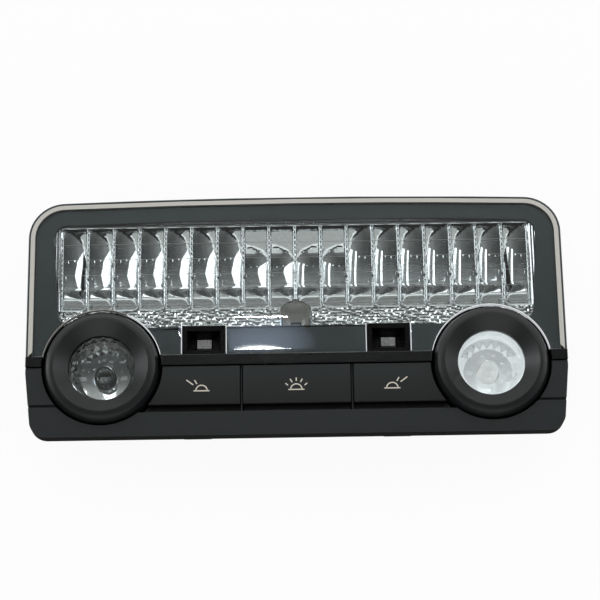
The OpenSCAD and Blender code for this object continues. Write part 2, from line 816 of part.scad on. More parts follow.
module spring_clip(side) {
    wall = half_w - housing_in;
    tongue = hook_out - clip_t;
    // Section of the leaf: a flat back on the wall and a bent tongue that springs out
    leaf = [
        [0, -clip_top], [0, -clip_low], [clip_t, -clip_low - clip_t], [hook_out, -clip_low + 2 * tongue],
        [hook_out, -clip_low + 2 * tongue + clip_t], [1.5 * clip_t, -clip_low + clip_t],
        [clip_t, -clip_low + clip_t], [clip_t, -clip_top]
    ];
    color("#a9adb0") datum() mirror([side < 0 ? 1 : 0, 0, 0]) translate([wall, clip_up, 0])
        rotate([90, 0, 0]) linear_extrude(clip_w, center = true) polygon(leaf);
}

// Outline of a button: k is -1, 0 or 1 from left to right, drawn in by d
module button_outline(k, low, d) {
    x_in = k == 0 ? -centre_button_w / 2 : side_button_in;
    x_out = k == 0 ? centre_button_w / 2 : spot_x;
    mirror([k < 0 ? 1 : 0, 0, 0]) difference() {
        translate([x_in + d, low + d]) square([x_out - x_in - 2 * d, -low - 2 * d]);
        translate([spot_x, 0]) circle(r = button_end_r + d);
    }
}

module button(k) {
    x = k * switch_x;
    shelf = strip_top + button_fit;
    color("#222527") datum() union() {
        difference() {
            union() {
                slab(button_sink, skirt_d) button_outline(k, button_low, 0);
                slab(ledge_d, skirt_d) button_outline(k, shelf, 0);
            }
            slab(button_sink + button_wall, skirt_d + past) button_outline(k, button_low, button_wall);
        }
        translate([x, -switch_down, -stem_d]) cylinder(r = button_post_r, h = stem_d - button_wall);
    }
}

module gimbal_ring(side) {
    color("#3a3d40") at_spot(side) translate([0, 0, -pivot_d]) difference() {
        union() {
            translate([0, 0, -gimbal_h / 2]) cylinder(r = gimbal_out_r, h = gimbal_h);
            rotate([90, 0, 0]) cylinder(r = pin_r, h = 2 * (post_in_r + post_t - pin_end), center = true);
        }
        translate([0, 0, -gimbal_h]) cylinder(r = gimbal_in_r, h = 2 * gimbal_h);
        rotate([0, 90, 0]) cylinder(r = pin_bore_r, h = 3 * gimbal_out_r, center = true);
    }
}

// Section of the bezel: skirt on the ball, rounded crest, slope down to the hole, and the cup behind it
module bezel_section() {
    a0 = acos((crest_up - crest_round * (1 - sin(crest_a)) + pivot_d) / ball_r);
    ball = ball_arc(ball_r, -pivot_d, 90, a0, 10);
    shoulder = arc(crest_r, crest_up - crest_round, crest_round, crest_a + 6, 90, 4);
    hole = [[hole_r, -hole_d], [hole_r, -lens_t], [cup_bore_r, -lens_t]];
    cup_z = lens_t + spot_lens_t;
    cup_in = ball_arc(cup_bore_r, -cup_z, 90, 180 - neck_a, 8);
    neck = [[neck_r, -cup_z - cup_bore_r * cos(neck_a)], [neck_r, -neck_d], [neck_r + cup_t, -neck_d]];
    out_r = cup_bore_r + cup_t;
    out_a = asin((neck_r + cup_t) / out_r);
    cup_out = ball_arc(out_r, -cup_z, 180 - out_a, 90, 8);
    under_z = crest_up - roof_t;
    in_a = acos((under_z + pivot_d) / bezel_in_r);
    under = [[out_r, under_z - 1.5 * roof_t], [out_r + roof_t, under_z - 0.8 * roof_t]];
    inside = ball_arc(bezel_in_r, -pivot_d, in_a, 90, 8);
    polygon(concat(ball, shoulder, hole, cup_in, neck, cup_out, under, inside));
}

module spot_bezel(side) {
    pin_in = cup_bore_r + pin_end;
    color("#202324") at_spot(side) union() {
        rotate_extrude() bezel_section();
        for (end = [-1, 1])
            translate([end * pin_in, 0, -pivot_d]) rotate([0, 90 * end, 0])
                cylinder(r = pin_r, h = gimbal_out_r - pin_end - pin_in);
    }
}

module spot_lens(side) {
    dome_base = hole_r - cut_fit;
    lens_ball = (pow(dome_base, 2) + pow(dome_h, 2)) / (2 * dome_h);
    color("#dfe6e8", 0.5) at_spot(side) translate([0, 0, -lens_t]) union() {
        translate([0, 0, -spot_lens_t]) cylinder(r = cup_bore_r - cup_fit, h = spot_lens_t);
        intersection() {
            translate([0, 0, -tiny]) cylinder(r = dome_base, h = dome_h + tiny);
            translate([0, 0, dome_h - lens_ball]) sphere(r = lens_ball);
        }
    }
}

module spot_reflector(side) {
    out_r = cup_bore_r - cup_fit;
    top = lens_t + spot_lens_t;
    color("#d3d6d8") at_spot(side) translate([0, 0, -top]) difference() {
        intersection() {
            sphere(r = out_r);
            translate([0, 0, -2 * out_r]) cylinder(r = out_r, h = 2 * out_r);
        }
        sphere(r = out_r - bowl_t);
        translate([0, 0, -2 * out_r]) cylinder(r = spot_bulb_r + slot_gap / 2, h = 2 * out_r);
        // The bowl ends just above the ledge round the neck
        translate([0, 0, -out_r * (2 + cos(bowl_end_a))]) cylinder(r = out_r, h = 2 * out_r);
    }
}

module spot_bulb(side) {
    color("#eef1f2", 0.4) at_spot(side) translate([0, 0, -spot_foot]) rotate_extrude()
        glass_section(spot_bulb_r, spot_foot - spot_bulb_tip, spot_neck_r);
}

module spot_filament(side) {
    color("#8d8f90") at_spot(side) translate([0, 0, -spot_foot])
        filament(spot_neck_r - glass_t - filament_fit, spot_bead_h, spot_coil / 2, spot_reach);
}

module spot_holder(side) {
    color("#e9e6dc") at_spot(side) difference() {
        union() {
            translate([0, 0, -neck_d]) cylinder(r = neck_r - cut_fit, h = spot_seat_h);
            translate([0, 0, -neck_d - spot_flange_t]) cylinder(r = neck_r + cup_t, h = spot_flange_t);
            translate([0, 0, -neck_d - spot_socket_l]) cylinder(r = neck_r - cup_t, h = spot_socket_l);
        }
        translate([0, 0, -spot_foot]) cylinder(r = spot_bulb_r + cup_fit, h = spot_seat_h + past);
    }
}

module left_guide_holder() guide_holder(-1);
module right_guide_holder() guide_holder(1);
module left_light_guide() light_guide(-1);
module right_light_guide() light_guide(1);
module left_led() led(-1);
module right_led() led(1);
module left_switch() switch_body(-switch_x);
module centre_switch() switch_body(0);
module right_switch() switch_body(switch_x);
module left_plunger() plunger(-switch_x);
module centre_plunger() plunger(0);
module right_plunger() plunger(switch_x);
module left_spring_clip() spring_clip(-1);
module right_spring_clip() spring_clip(1);
module left_button() button(-1);
module centre_button() button(0);
module right_button() button(1);
module left_gimbal_ring() gimbal_ring(-1);
module right_gimbal_ring() gimbal_ring(1);
module left_spot_bezel() spot_bezel(-1);
module right_spot_bezel() spot_bezel(1);
module left_spot_lens() spot_lens(-1);
module right_spot_lens() spot_lens(1);
module left_spot_reflector() spot_reflector(-1);
module right_spot_reflector() spot_reflector(1);
module left_spot_bulb() spot_bulb(-1);
module right_spot_bulb() spot_bulb(1);
module left_spot_filament() spot_filament(-1);
module right_spot_filament() spot_filament(1);
module left_spot_holder() spot_holder(-1);
module right_spot_holder() spot_holder(1);

rear_housing();
front_frame();
lens_panel();
main_reflector();
main_bulb();
main_filament();
main_bulb_holder();
left_guide_holder();
right_guide_holder();
left_light_guide();
right_light_guide();
left_led();
right_led();
circuit_board();
board_screws();
connector_header();
connector_pins();
left_switch();
centre_switch();
right_switch();
left_spring_clip();
right_spring_clip();
left_button();
centre_button();
right_button();
left_plunger();
centre_plunger();
right_plunger();
left_gimbal_ring();
right_gimbal_ring();
left_spot_bezel();
right_spot_bezel();
left_spot_lens();
right_spot_lens();
left_spot_reflector();
right_spot_reflector();
left_spot_bulb();
right_spot_bulb();
left_spot_filament();
right_spot_filament();
left_spot_holder();
right_spot_holder();
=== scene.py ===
# %% [markdown]
# # Car dome light
# This lesson dresses the solid model of a car's roof lamp for a studio picture.
# The lamp lies on its back: a clear cover over a silvered reflector, two reading lamps in black rings,
# and three black buttons with printed signs. The solids come in as a fixed frame, in metres.
# Every new piece is modelled in that same frame, so it lands in its place with no fitting.

# %% Load the solids and note their box
import math

import bmesh
import bpy
from mathutils import Matrix, Vector


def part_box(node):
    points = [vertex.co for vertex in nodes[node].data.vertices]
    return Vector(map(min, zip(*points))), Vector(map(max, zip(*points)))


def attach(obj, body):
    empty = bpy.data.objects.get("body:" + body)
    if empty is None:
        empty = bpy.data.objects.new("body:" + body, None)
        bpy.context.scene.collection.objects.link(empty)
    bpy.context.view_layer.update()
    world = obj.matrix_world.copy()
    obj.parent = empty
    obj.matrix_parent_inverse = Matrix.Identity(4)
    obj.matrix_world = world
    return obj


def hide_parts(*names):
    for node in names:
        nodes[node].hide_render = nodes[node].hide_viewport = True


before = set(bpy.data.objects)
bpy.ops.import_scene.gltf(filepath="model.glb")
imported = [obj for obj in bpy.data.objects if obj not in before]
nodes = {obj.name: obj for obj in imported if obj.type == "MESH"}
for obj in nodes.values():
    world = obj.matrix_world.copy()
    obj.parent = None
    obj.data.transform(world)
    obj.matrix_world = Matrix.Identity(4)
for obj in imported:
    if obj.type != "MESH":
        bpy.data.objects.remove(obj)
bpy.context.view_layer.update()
MM = 0.001
print("loaded", len(nodes), "solids")

# %% [markdown]
# The frame gives the places that matter. The face plane is the front of the clear cover, and the
# line through both reading lamps is the level from which heights on the face are measured.

# %% Places read from the frame
_, lens_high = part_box("lens_panel")
FACE = lens_high.z
spot_low, spot_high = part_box("right_spot_bezel")
SPOT_X = (spot_low.x + spot_high.x) / 2
LEVEL = (spot_low.y + spot_high.y) / 2


def place(x, up, depth):
    """A point in metres, from millimetres across, above the lamps and below the face plane."""
    return Vector((x * MM, LEVEL + up * MM, FACE - depth * MM))


print("face plane at", round(FACE / MM, 2), "mm, reading lamps at", round(SPOT_X / MM, 2), "mm")

# %% [markdown]
# The tools act on whatever is selected, so each step starts from nothing selected. These few
# helpers open one piece in edit mode, pick its corners, edges or faces by where they lie, and
# close it again. A closed piece gets its place pressed into its mesh, with its object at the origin.

# %% Helpers for modelling by hand
WELD = 0.002
FLAT_DEG, BEVEL_DEG = 0.5, 30


def clear():
    if bpy.context.object and bpy.context.object.mode != "OBJECT":
        bpy.ops.object.mode_set(mode="OBJECT")
    bpy.ops.object.select_all(action="DESELECT")


def activate(obj):
    clear()
    bpy.context.view_layer.objects.active = obj
    obj.select_set(True)
    return obj


def open_piece(obj):
    activate(obj)
    bpy.ops.object.mode_set(mode="EDIT")
    bpy.ops.mesh.select_all(action="DESELECT")


def pick(kind, test):
    """Selects the verts, edges or faces of the open piece whose middle passes the test."""
    mesh = bpy.context.object.data
    kinds = {"verts": "VERT", "edges": "EDGE", "faces": "FACE"}
    bpy.ops.mesh.select_mode(type=kinds[kind])
    bpy.ops.mesh.select_all(action="DESELECT")
    shape = bmesh.from_edit_mesh(mesh)
    count = 0
    for part in getattr(shape, kind):
        if kind == "verts":
            middle = part.co
        elif kind == "edges":
            middle = (part.verts[0].co + part.verts[1].co) / 2
        else:
            middle = part.calc_center_median()
        if test(middle, part):
            part.select_set(True)
            count += 1
    shape.select_flush_mode()
    bmesh.update_edit_mesh(mesh)
    return count


def press_place(obj):
    """Moves the object's place, turn and size into its mesh."""
    activate(obj)
    bpy.ops.object.transform_apply(location=True, rotation=True, scale=True)
    return obj


def modifier(obj, kind, **settings):
    activate(obj)
    added = obj.modifiers.new(kind.title(), kind)
    for key, value in settings.items():
        setattr(added, key, value)
    bpy.ops.object.modifier_apply(modifier=added.name)
    return obj


def smooth(obj, degrees=35):
    activate(obj)
    bpy.ops.object.shade_smooth_by_angle(angle=math.radians(degrees))
    return obj


def outward(obj):
    open_piece(obj)
    bpy.ops.mesh.select_all(action="SELECT")
    bpy.ops.mesh.normals_make_consistent(inside=False)
    clear()


def face_up(obj):
    """Turns an open sheet over if most of it looks down."""
    if sum(p.normal.z for p in obj.data.polygons) < 0:
        open_piece(obj)
        bpy.ops.mesh.select_all(action="SELECT")
        bpy.ops.mesh.flip_normals()
        clear()


def joined(pieces):
    """Joins all the pieces into the first one."""
    activate(pieces[0])
    for obj in pieces[1:]:
        obj.select_set(True)
    bpy.ops.object.join()
    return pieces[0]


def finish_piece(obj, name, body, material, replaces=()):
    """Names a finished piece, gives it its material and hangs it on the body that carries it."""
    obj.name = name
    obj.data.name = name
    obj.data.materials.clear()
    obj.data.materials.append(material)
    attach(obj, body)
    if replaces:
        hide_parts(*replaces)
    return obj


def copied(node):
    """A copy of a solid, with the repeated corners of its triangles merged."""
    obj = bpy.data.objects.new(node + "_moulded", nodes[node].data.copy())
    bpy.context.scene.collection.objects.link(obj)
    activate(obj)
    if obj.data.has_custom_normals:
        bpy.ops.mesh.customdata_custom_splitnormals_clear()
    open_piece(obj)
    bpy.ops.mesh.select_all(action="SELECT")
    bpy.ops.mesh.remove_doubles(threshold=WELD * MM)
    clear()
    return obj


def even_flats(obj):
    """Large flat faces keep their own direction, and the narrow rounds between them do the bending."""
    return modifier(obj, "WEIGHTED_NORMAL", mode="FACE_AREA", weight=100, keep_sharp=True)


def softened(node, width):
    """A copy of a solid with its edges rounded off by width millimetres, as a mould leaves them."""
    obj = copied(node)
    open_piece(obj)
    bpy.ops.mesh.select_all(action="SELECT")
    bpy.ops.mesh.dissolve_limited(angle_limit=math.radians(FLAT_DEG))
    clear()
    modifier(obj, "BEVEL", width=width * MM, segments=2, limit_method="ANGLE",
             angle_limit=math.radians(BEVEL_DEG), use_clamp_overlap=False, miter_outer="MITER_ARC")
    smooth(obj)
    return even_flats(obj)


def moulded(node):
    """A copy of a solid with its curves shaded smooth and its edges left sharp."""
    return smooth(copied(node), 25)


print("helpers ready")

# %% [markdown]
# ## Finishes
# Each finish starts from what the real one is. Colours are written as they look on a screen, and
# one function turns them to the linear values that light works in. Patterns are set in millimetres.

# %% Colour and node helpers


def colour(hex_value):
    """Linear red, green, blue and alpha from an sRGB hex value such as 'a0b0c0'."""
    parts = [int(hex_value[i:i + 2], 16) / 255 for i in (0, 2, 4)]
    return tuple(c / 12.92 if c <= 0.04045 else ((c + 0.055) / 1.055) ** 2.4 for c in parts) + (1.0,)


def finish(name, **settings):
    """A new material with its shader's plain values set on the shader's own sockets."""
    material = bpy.data.materials.new(name)
    material.use_nodes = True
    shader = material.node_tree.nodes["Principled BSDF"]
    for key, value in settings.items():
        shader.inputs[key.replace("_", " ")].default_value = value
    return material


def add(material, kind, links=(), **settings):
    """Adds a node, sets its properties and inputs, and links its inputs from (input, node, output)."""
    tree = material.node_tree
    node = tree.nodes.new(kind)
    for key, value in settings.items():
        if hasattr(node, key):
            setattr(node, key, value)
        else:
            node.inputs[key.replace("_", " ")].default_value = value
    for into, source, output in links:
        tree.links.new(source.outputs[output], node.inputs[into])
    return node


def to_shader(material, socket, source, output):
    shader = material.node_tree.nodes["Principled BSDF"]
    material.node_tree.links.new(source.outputs[output], shader.inputs[socket])


def grain(material, size_mm, depth_mm, stretch=(1, 1, 1), detail=2):
    """A fine moulded grain on Object coordinates: bumps about size_mm across and depth_mm high."""
    place_node = add(material, "ShaderNodeTexCoord")
    scaled = add(material, "ShaderNodeMapping", [("Vector", place_node, "Object")], Scale=stretch)
    noise = add(material, "ShaderNodeTexNoise", [("Vector", scaled, "Vector")],
                Scale=1 / (size_mm * MM), Detail=detail)
    bump = add(material, "ShaderNodeBump", [("Height", noise, "Fac")],
               Strength=1.0, Distance=depth_mm * MM)
    to_shader(material, "Normal", bump, "Normal")


def worn(material, low, high, size_mm):
    """Roughness that wanders between two values in soft patches, as handling leaves it."""
    place_node = add(material, "ShaderNodeTexCoord")
    noise = add(material, "ShaderNodeTexNoise", [("Vector", place_node, "Object")],
                Scale=1 / (size_mm * MM), Detail=3)
    spread = add(material, "ShaderNodeMapRange", [("Value", noise, "Fac")],
                 From_Min=0.3, From_Max=0.7, To_Min=low, To_Max=high)
    to_shader(material, "Roughness", spread, "Result")


print("colour and node helpers ready")

# %% [markdown]
# The black mouldings are ABS. The housing has a coarse spark-eroded grain, the rings, the buttons
# and the deck under the cover a finer satin one, and the rail is polished. Grain of a few
# hundredths of a millimetre is drawn several times coarser, so that it still shows in a picture.

# %% Black mouldings
ABS_IOR = 1.54
housing_black = finish("Grained_ABS_housing", Base_Color=colour("202224"), IOR=ABS_IOR)
grain(housing_black, 0.5, 0.02)
worn(housing_black, 0.5, 0.64, 18)

ring_black = finish("Satin_ABS_rings", Base_Color=colour("16191a"), IOR=ABS_IOR)
grain(ring_black, 0.22, 0.004)
worn(ring_black, 0.36, 0.44, 14)

strip_black = finish("Satin_ABS_strip", Base_Color=colour("1b2022"), IOR=ABS_IOR)
grain(strip_black, 0.22, 0.003)
worn(strip_black, 0.38, 0.46, 20)

# Painted shade: a button's colour darkens down its face towards its lower edge, in place of the shading of
# its slight crown
BUTTON_SHADE_RUN = 13
button_black = finish("Satin_ABS_buttons_painted_shade", IOR=ABS_IOR)
grain(button_black, 0.22, 0.003)
worn(button_black, 0.38, 0.46, 20)
button_place = add(button_black, "ShaderNodeTexCoord")
button_axes = add(button_black, "ShaderNodeSeparateXYZ", [(0, button_place, "Object")])
button_share = add(button_black, "ShaderNodeMapRange", [("Value", button_axes, "Y")],
                   From_Min=LEVEL - BUTTON_SHADE_RUN * MM, From_Max=LEVEL)
button_painted_shade = add(button_black, "ShaderNodeValToRGB", [("Fac", button_share, "Result")])
button_painted_shade.color_ramp.elements[0].color = colour("0c0e0e")
button_painted_shade.color_ramp.elements[1].color = colour("1e2425")
to_shader(button_black, "Base Color", button_painted_shade, "Color")

face_black = finish("Polished_ABS_face", Base_Color=colour("060808"), IOR=ABS_IOR,
                    Specular_IOR_Level=0.3)
grain(face_black, 6, 0.004)
worn(face_black, 0.26, 0.34, 24)

# The side walls come out of the mould with a coarse, dull grain
side_black = finish("Eroded_ABS_sides", Base_Color=colour("070808"), IOR=1.25, Roughness=0.95)
grain(side_black, 0.5, 0.02)

# Painted sheen: the deck under the cover is black ABS, and this grey stands in for the sheen it shows
# through the cover
deck_painted_sheen = finish("Satin_ABS_deck_painted_sheen", Base_Color=colour("414a4c"), IOR=ABS_IOR)
grain(deck_painted_sheen, 0.3, 0.003)
worn(deck_painted_sheen, 0.3, 0.38, 24)

inner_black = finish("Moulded_ABS_inner", Base_Color=colour("030303"), IOR=ABS_IOR,
                     Specular_IOR_Level=0.15)
grain(inner_black, 0.4, 0.006)
worn(inner_black, 0.26, 0.36, 9)
print("finishes so far:", len(bpy.data.materials))

# %% [markdown]
# The reflector is plastic with aluminium evaporated on it in a vacuum, under a thin clear lacquer.
# It is a true mirror, with faint upright ripples left by the cutter in the mould.

# %% Silvered plastic
silvered = finish("Aluminised_plastic", Base_Color=colour("dfe1e2"), Metallic=1.0, Roughness=0.05)
grain(silvered, 1.1, 0.012, stretch=(1, 0.12, 0.4), detail=1)

hammered = finish("Hammered_aluminised_plastic", Base_Color=colour("e6e8e8"), Metallic=1.0,
                  Roughness=0.06)
grain(hammered, 0.9, 0.03, detail=1)

bowl_silver = finish("Aluminised_bowl", Base_Color=colour("e4e5e5"), Metallic=1.0, Roughness=0.07)
grain(bowl_silver, 1.6, 0.02, detail=1)

# The gutter behind the bulb is rougher, and a little painted glow makes it show pale from all sides
gutter_painted_glow = finish("Satin_aluminised_gutter_painted_glow", Base_Color=colour("e2e2de"), Metallic=0.3,
                      Roughness=0.35, Emission_Color=colour("e8e6e0"), Emission_Strength=0.12)
grain(gutter_painted_glow, 0.8, 0.02)

# The right lamp looks bright: a faint white painted glow fills its bowl and its bulb
PAINTED_GLOW = 0.26
bowl_painted_glow = finish("Aluminised_bowl_painted_glow", Base_Color=colour("f4f6f6"), Metallic=0.6, Roughness=0.16,
                  Emission_Color=colour("f4f8fa"), Emission_Strength=PAINTED_GLOW)
grain(bowl_painted_glow, 1.2, 0.08, detail=2)
bulb_painted_glow = finish("Bulb_glass_painted_glow", Base_Color=colour("fafcfc"), IOR=1.52, Transmission_Weight=0.5,
                  Roughness=0.2, Emission_Color=colour("ffffff"), Emission_Strength=PAINTED_GLOW / 2)
grain(bulb_painted_glow, 2, 0.03)
print("finishes so far:", len(bpy.data.materials))

# %% [markdown]
# The cover and the reading lenses are clear acrylic, polished in the mould. The cover's edge is
# left frosted, so it gathers light and shows as a pale line round the face.

# %% Clear and frosted plastics
ACRYLIC_IOR = 1.49
clear_acrylic = finish("Clear_acrylic", Base_Color=colour("f4f8f8"), IOR=ACRYLIC_IOR,
                       Transmission_Weight=1.0, Roughness=0.01)
lens_place = add(clear_acrylic, "ShaderNodeTexCoord")
lens_waves = add(clear_acrylic, "ShaderNodeTexNoise", [("Vector", lens_place, "Object")],
                 Scale=1 / (12 * MM), Detail=1)
lens_bump = add(clear_acrylic, "ShaderNodeBump", [("Height", lens_waves, "Fac")],
                Strength=1.0, Distance=0.003 * MM)
to_shader(clear_acrylic, "Normal", lens_bump, "Normal")

frosted_edge = finish("Frosted_acrylic_edge", Base_Color=colour("c4c2bb"), IOR=ACRYLIC_IOR)
grain(frosted_edge, 0.3, 0.004)
worn(frosted_edge, 0.25, 0.4, 7)

# The walls of the cut-outs look bright, so their frosted finish is given a little painted glow
edge_painted_shine = finish("Acrylic_edge_painted_shine", Base_Color=colour("eef0f0"), IOR=ACRYLIC_IOR,
                      Emission_Color=colour("f2f6fa"), Emission_Strength=0.45)
grain(edge_painted_shine, 0.3, 0.004)
worn(edge_painted_shine, 0.25, 0.4, 5)

guide_clear = finish("Frosted_light_guide", Base_Color=colour("d9dcda"), IOR=1.58,
                     Transmission_Weight=0.5)
grain(guide_clear, 0.3, 0.01)
worn(guide_clear, 0.2, 0.35, 2)

bulb_clear = finish("Bulb_glass", Base_Color=colour("f2f4f4"), IOR=1.52,
                    Transmission_Weight=1.0, Roughness=0.0)
grain(bulb_clear, 3, 0.02)
print("finishes so far:", len(bpy.data.materials))

# %% [markdown]
# The small parts inside are a fibreglass board under green lacquer, pressed steel, tinned wire,
# brass pins and a pale heat-proof plastic round the bulbs.

# %% Small parts
board_green = finish("Lacquered_fibreglass_board", Base_Color=colour("1d5a36"), IOR=1.5)
grain(board_green, 0.7, 0.01)
worn(board_green, 0.25, 0.4, 5)

spring_steel = finish("Spring_steel", Base_Color=colour("b4b6b8"), Metallic=1.0)
grain(spring_steel, 0.5, 0.003, stretch=(1, 1, 0.15))
worn(spring_steel, 0.25, 0.42, 3)

zinc_steel = finish("Zinc_plated_steel", Base_Color=colour("c3c4c2"), Metallic=1.0)
grain(zinc_steel, 0.4, 0.004)
worn(zinc_steel, 0.28, 0.45, 2)

pin_brass = finish("Tinned_brass", Base_Color=colour("cfae68"), Metallic=1.0)
grain(pin_brass, 0.3, 0.002)
worn(pin_brass, 0.2, 0.35, 1)

tungsten = finish("Tungsten_wire", Base_Color=colour("8a8b8c"), Metallic=1.0)
grain(tungsten, 0.2, 0.01)
worn(tungsten, 0.3, 0.5, 1)

holder_pale = finish("Heatproof_plastic", Base_Color=colour("e4dfd0"), IOR=1.6)
grain(holder_pale, 0.4, 0.01)
worn(holder_pale, 0.4, 0.55, 4)

led_pale = finish("LED_case", Base_Color=colour("efe7bd"), IOR=1.5)
grain(led_pale, 0.3, 0.004)
worn(led_pale, 0.3, 0.4, 1)

sign_print = finish("Printed_sign_ink", Base_Color=colour("d8d2c4"), IOR=1.5)
grain(sign_print, 0.2, 0.002)
worn(sign_print, 0.5, 0.6, 1)
print("finishes so far:", len(bpy.data.materials))

# %% Finishes for the solids that stay as they are
kept = {
    housing_black: ["connector_header", "left_switch", "centre_switch", "right_switch",
                    "left_gimbal_ring", "right_gimbal_ring"],
    bulb_clear: ["main_bulb", "left_spot_bulb"],
    # The right bulb gets a painted glow
    bulb_painted_glow: ["right_spot_bulb"],
    tungsten: ["main_filament", "left_spot_filament", "right_spot_filament"],
    holder_pale: ["main_bulb_holder", "left_spot_holder", "right_spot_holder",
                  "left_plunger", "centre_plunger", "right_plunger"],
    guide_clear: ["left_light_guide", "right_light_guide"],
    led_pale: ["left_led", "right_led"],
    board_green: ["circuit_board"],
    zinc_steel: ["board_screws"],
    pin_brass: ["connector_pins"],
    spring_steel: ["left_spring_clip", "right_spring_clip"],
    inner_black: ["left_guide_holder", "right_guide_holder"],
}
for material, names in kept.items():
    for name in names:
        nodes[name].data.materials.clear()
        nodes[name].data.materials.append(material)
print("finishes given to", sum(len(names) for names in kept.values()), "solids")

# %% [markdown]
# ## Frame, housing and buttons
# A mould leaves every edge slightly round, and a round edge catches a thin line of light. Each of
# these pieces is a copy of its solid with its loose triangles joined and its edges rounded.

# %% Housing, frame, buttons
housing = softened("rear_housing", 0.35)
finish_piece(housing, "housing_moulded", "root", housing_black, ["rear_housing"])

face = softened("front_frame", 0.14)
finish_piece(face, "frame_moulded", "root", face_black, ["front_frame"])

for side in ("left", "centre", "right"):
    button = softened(side + "_button", 0.22)
    finish_piece(button, side + "_button_moulded", side + "_button", button_black,
                 [side + "_button"])
print("moulded:", housing.name, face.name, "and three buttons")

# %% Rings and reading lenses
for side in ("left", "right"):
    ring = moulded(side + "_spot_bezel")
    finish_piece(ring, side + "_ring_moulded", side + "_spot", ring_black,
                 [side + "_spot_bezel"])
    lens = moulded(side + "_spot_lens")
    finish_piece(lens, side + "_lens_moulded", side + "_spot", clear_acrylic,
                 [side + "_spot_lens"])
print("rings and reading lenses moulded")

# %% [markdown]
# Behind each reading lens lies a silvered bowl. On the real lamp it is moulded in small flat facets,
# which spread the light. A ring of edges is extruded down and drawn in, step by step, each step
# turned a little, and the shading stays flat, so that every facet shows another part of the room.

# %% Bowls of the reading lamps
BOWL_WALL, BOWL_FACETS, BOWL_STEPS = 0.5, 22, 6
BOWL_ROOM = 0.1
BULB_HOLE = 3.1
CRESCENT_UP, CRESCENT_IN, CRESCENT_OUT = 4.5, 7.6, 9.6


def bowl(side, material):
    low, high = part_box(side + "_spot_reflector")
    middle = (low.x + high.x) / 2
    radius = (high.x - low.x) / 2 - (BOWL_WALL + BOWL_ROOM) * MM
    floor_drop = high.z - low.z - (BOWL_WALL + BOWL_ROOM) * MM
    end_angle = math.acos(floor_drop / radius)
    clear()
    bpy.ops.mesh.primitive_circle_add(vertices=BOWL_FACETS, radius=radius,
                                      location=(middle, LEVEL, high.z - BOWL_ROOM * MM))
    obj = press_place(bpy.context.object)
    open_piece(obj)
    bpy.ops.mesh.select_all(action="SELECT")
    was_r, was_drop = radius, 0.0
    for step in range(1, BOWL_STEPS + 2):
        angle = math.pi / 2 + (end_angle - math.pi / 2) * min(step, BOWL_STEPS) / BOWL_STEPS
        now_r, now_drop = radius * math.sin(angle), radius * math.cos(angle) - BOWL_ROOM * MM
        if step > BOWL_STEPS:
            now_r = BULB_HOLE * MM
        bpy.ops.mesh.extrude_edges_move(TRANSFORM_OT_translate={"value": (0, 0, was_drop - now_drop)})
        centre = (middle, LEVEL, high.z)
        bpy.ops.transform.resize(value=(now_r / was_r, now_r / was_r, 1), center_override=centre)
        bpy.ops.transform.rotate(value=math.pi / BOWL_FACETS, orient_axis="Z", center_override=centre)
        was_r, was_drop = now_r, now_drop
    bpy.ops.mesh.select_all(action="SELECT")
    bpy.ops.mesh.quads_convert_to_tris()
    bpy.ops.mesh.select_all(action="SELECT")
    bpy.ops.mesh.normals_make_consistent(inside=True)
    clear()
    face_up(obj)
    modifier(obj, "SOLIDIFY", thickness=BOWL_WALL * MM, offset=-1)
    return finish_piece(obj, side + "_bowl_faceted", side + "_spot", material,
                        [side + "_spot_reflector"])


# The right bowl gets the painted glow
for side, material in (("left", bowl_silver), ("right", bowl_painted_glow)):
    print(side, "bowl facets:", len(bowl(side, material).data.polygons))
# High on the glowing bowl a crescent of facets is left plain silver, without the painted glow, so it stays
# grey
painted_glow_bowl = bpy.data.objects["right_bowl_faceted"]
painted_glow_bowl.data.materials.append(bowl_silver)
for polygon in painted_glow_bowl.data.polygons:
    across, up = polygon.center.x / MM - SPOT_X / MM, (polygon.center.y - LEVEL) / MM
    if up > CRESCENT_UP and CRESCENT_IN < math.hypot(across, up) < CRESCENT_OUT:
        polygon.material_index = 1

# %% [markdown]
# Each button carries a printed sign: the dome of a lamp on its base line, with its rays. The thin
# ink stands a few hundredths of a millimetre proud, and rides on the button.

# %% Printed signs
SIGN_UP, SIGN_W, INK = -9.1, 0.4, 0.04
DOME_R, DOME_CORNERS = 2.2, 64
BASE_HALF = 2.8
BUTTON_FACE = 0.1
SIGN_X, CENTRE_SIGN_X = 33.3, -0.2
LONG_RAY, SHORT_RAY = ((-5.3, 4.0), (-2.9, 2.2)), ((-2.45, 3.9), (-1.6, 2.5))
FAN = [((0, 4.3), (0, 3.05)), ((-2.1, 3.8), (-1.45, 2.6)), ((2.1, 3.8), (1.45, 2.6)),
       ((-3.8, 2.3), (-2.9, 1.5)), ((3.8, 2.3), (2.9, 1.5))]


def stroke(x, start, end):
    """A straight line of ink between two points beside the middle of a sign."""
    run = Vector((end[0] - start[0], end[1] - start[1]))
    clear()
    bpy.ops.mesh.primitive_cube_add(size=1, location=place(
        x + (start[0] + end[0]) / 2, SIGN_UP + (start[1] + end[1]) / 2, BUTTON_FACE))
    obj = bpy.context.object
    obj.scale = (run.length * MM, SIGN_W * MM, INK * MM)
    obj.rotation_euler = (0, 0, math.atan2(run.y, run.x))
    return press_place(obj)


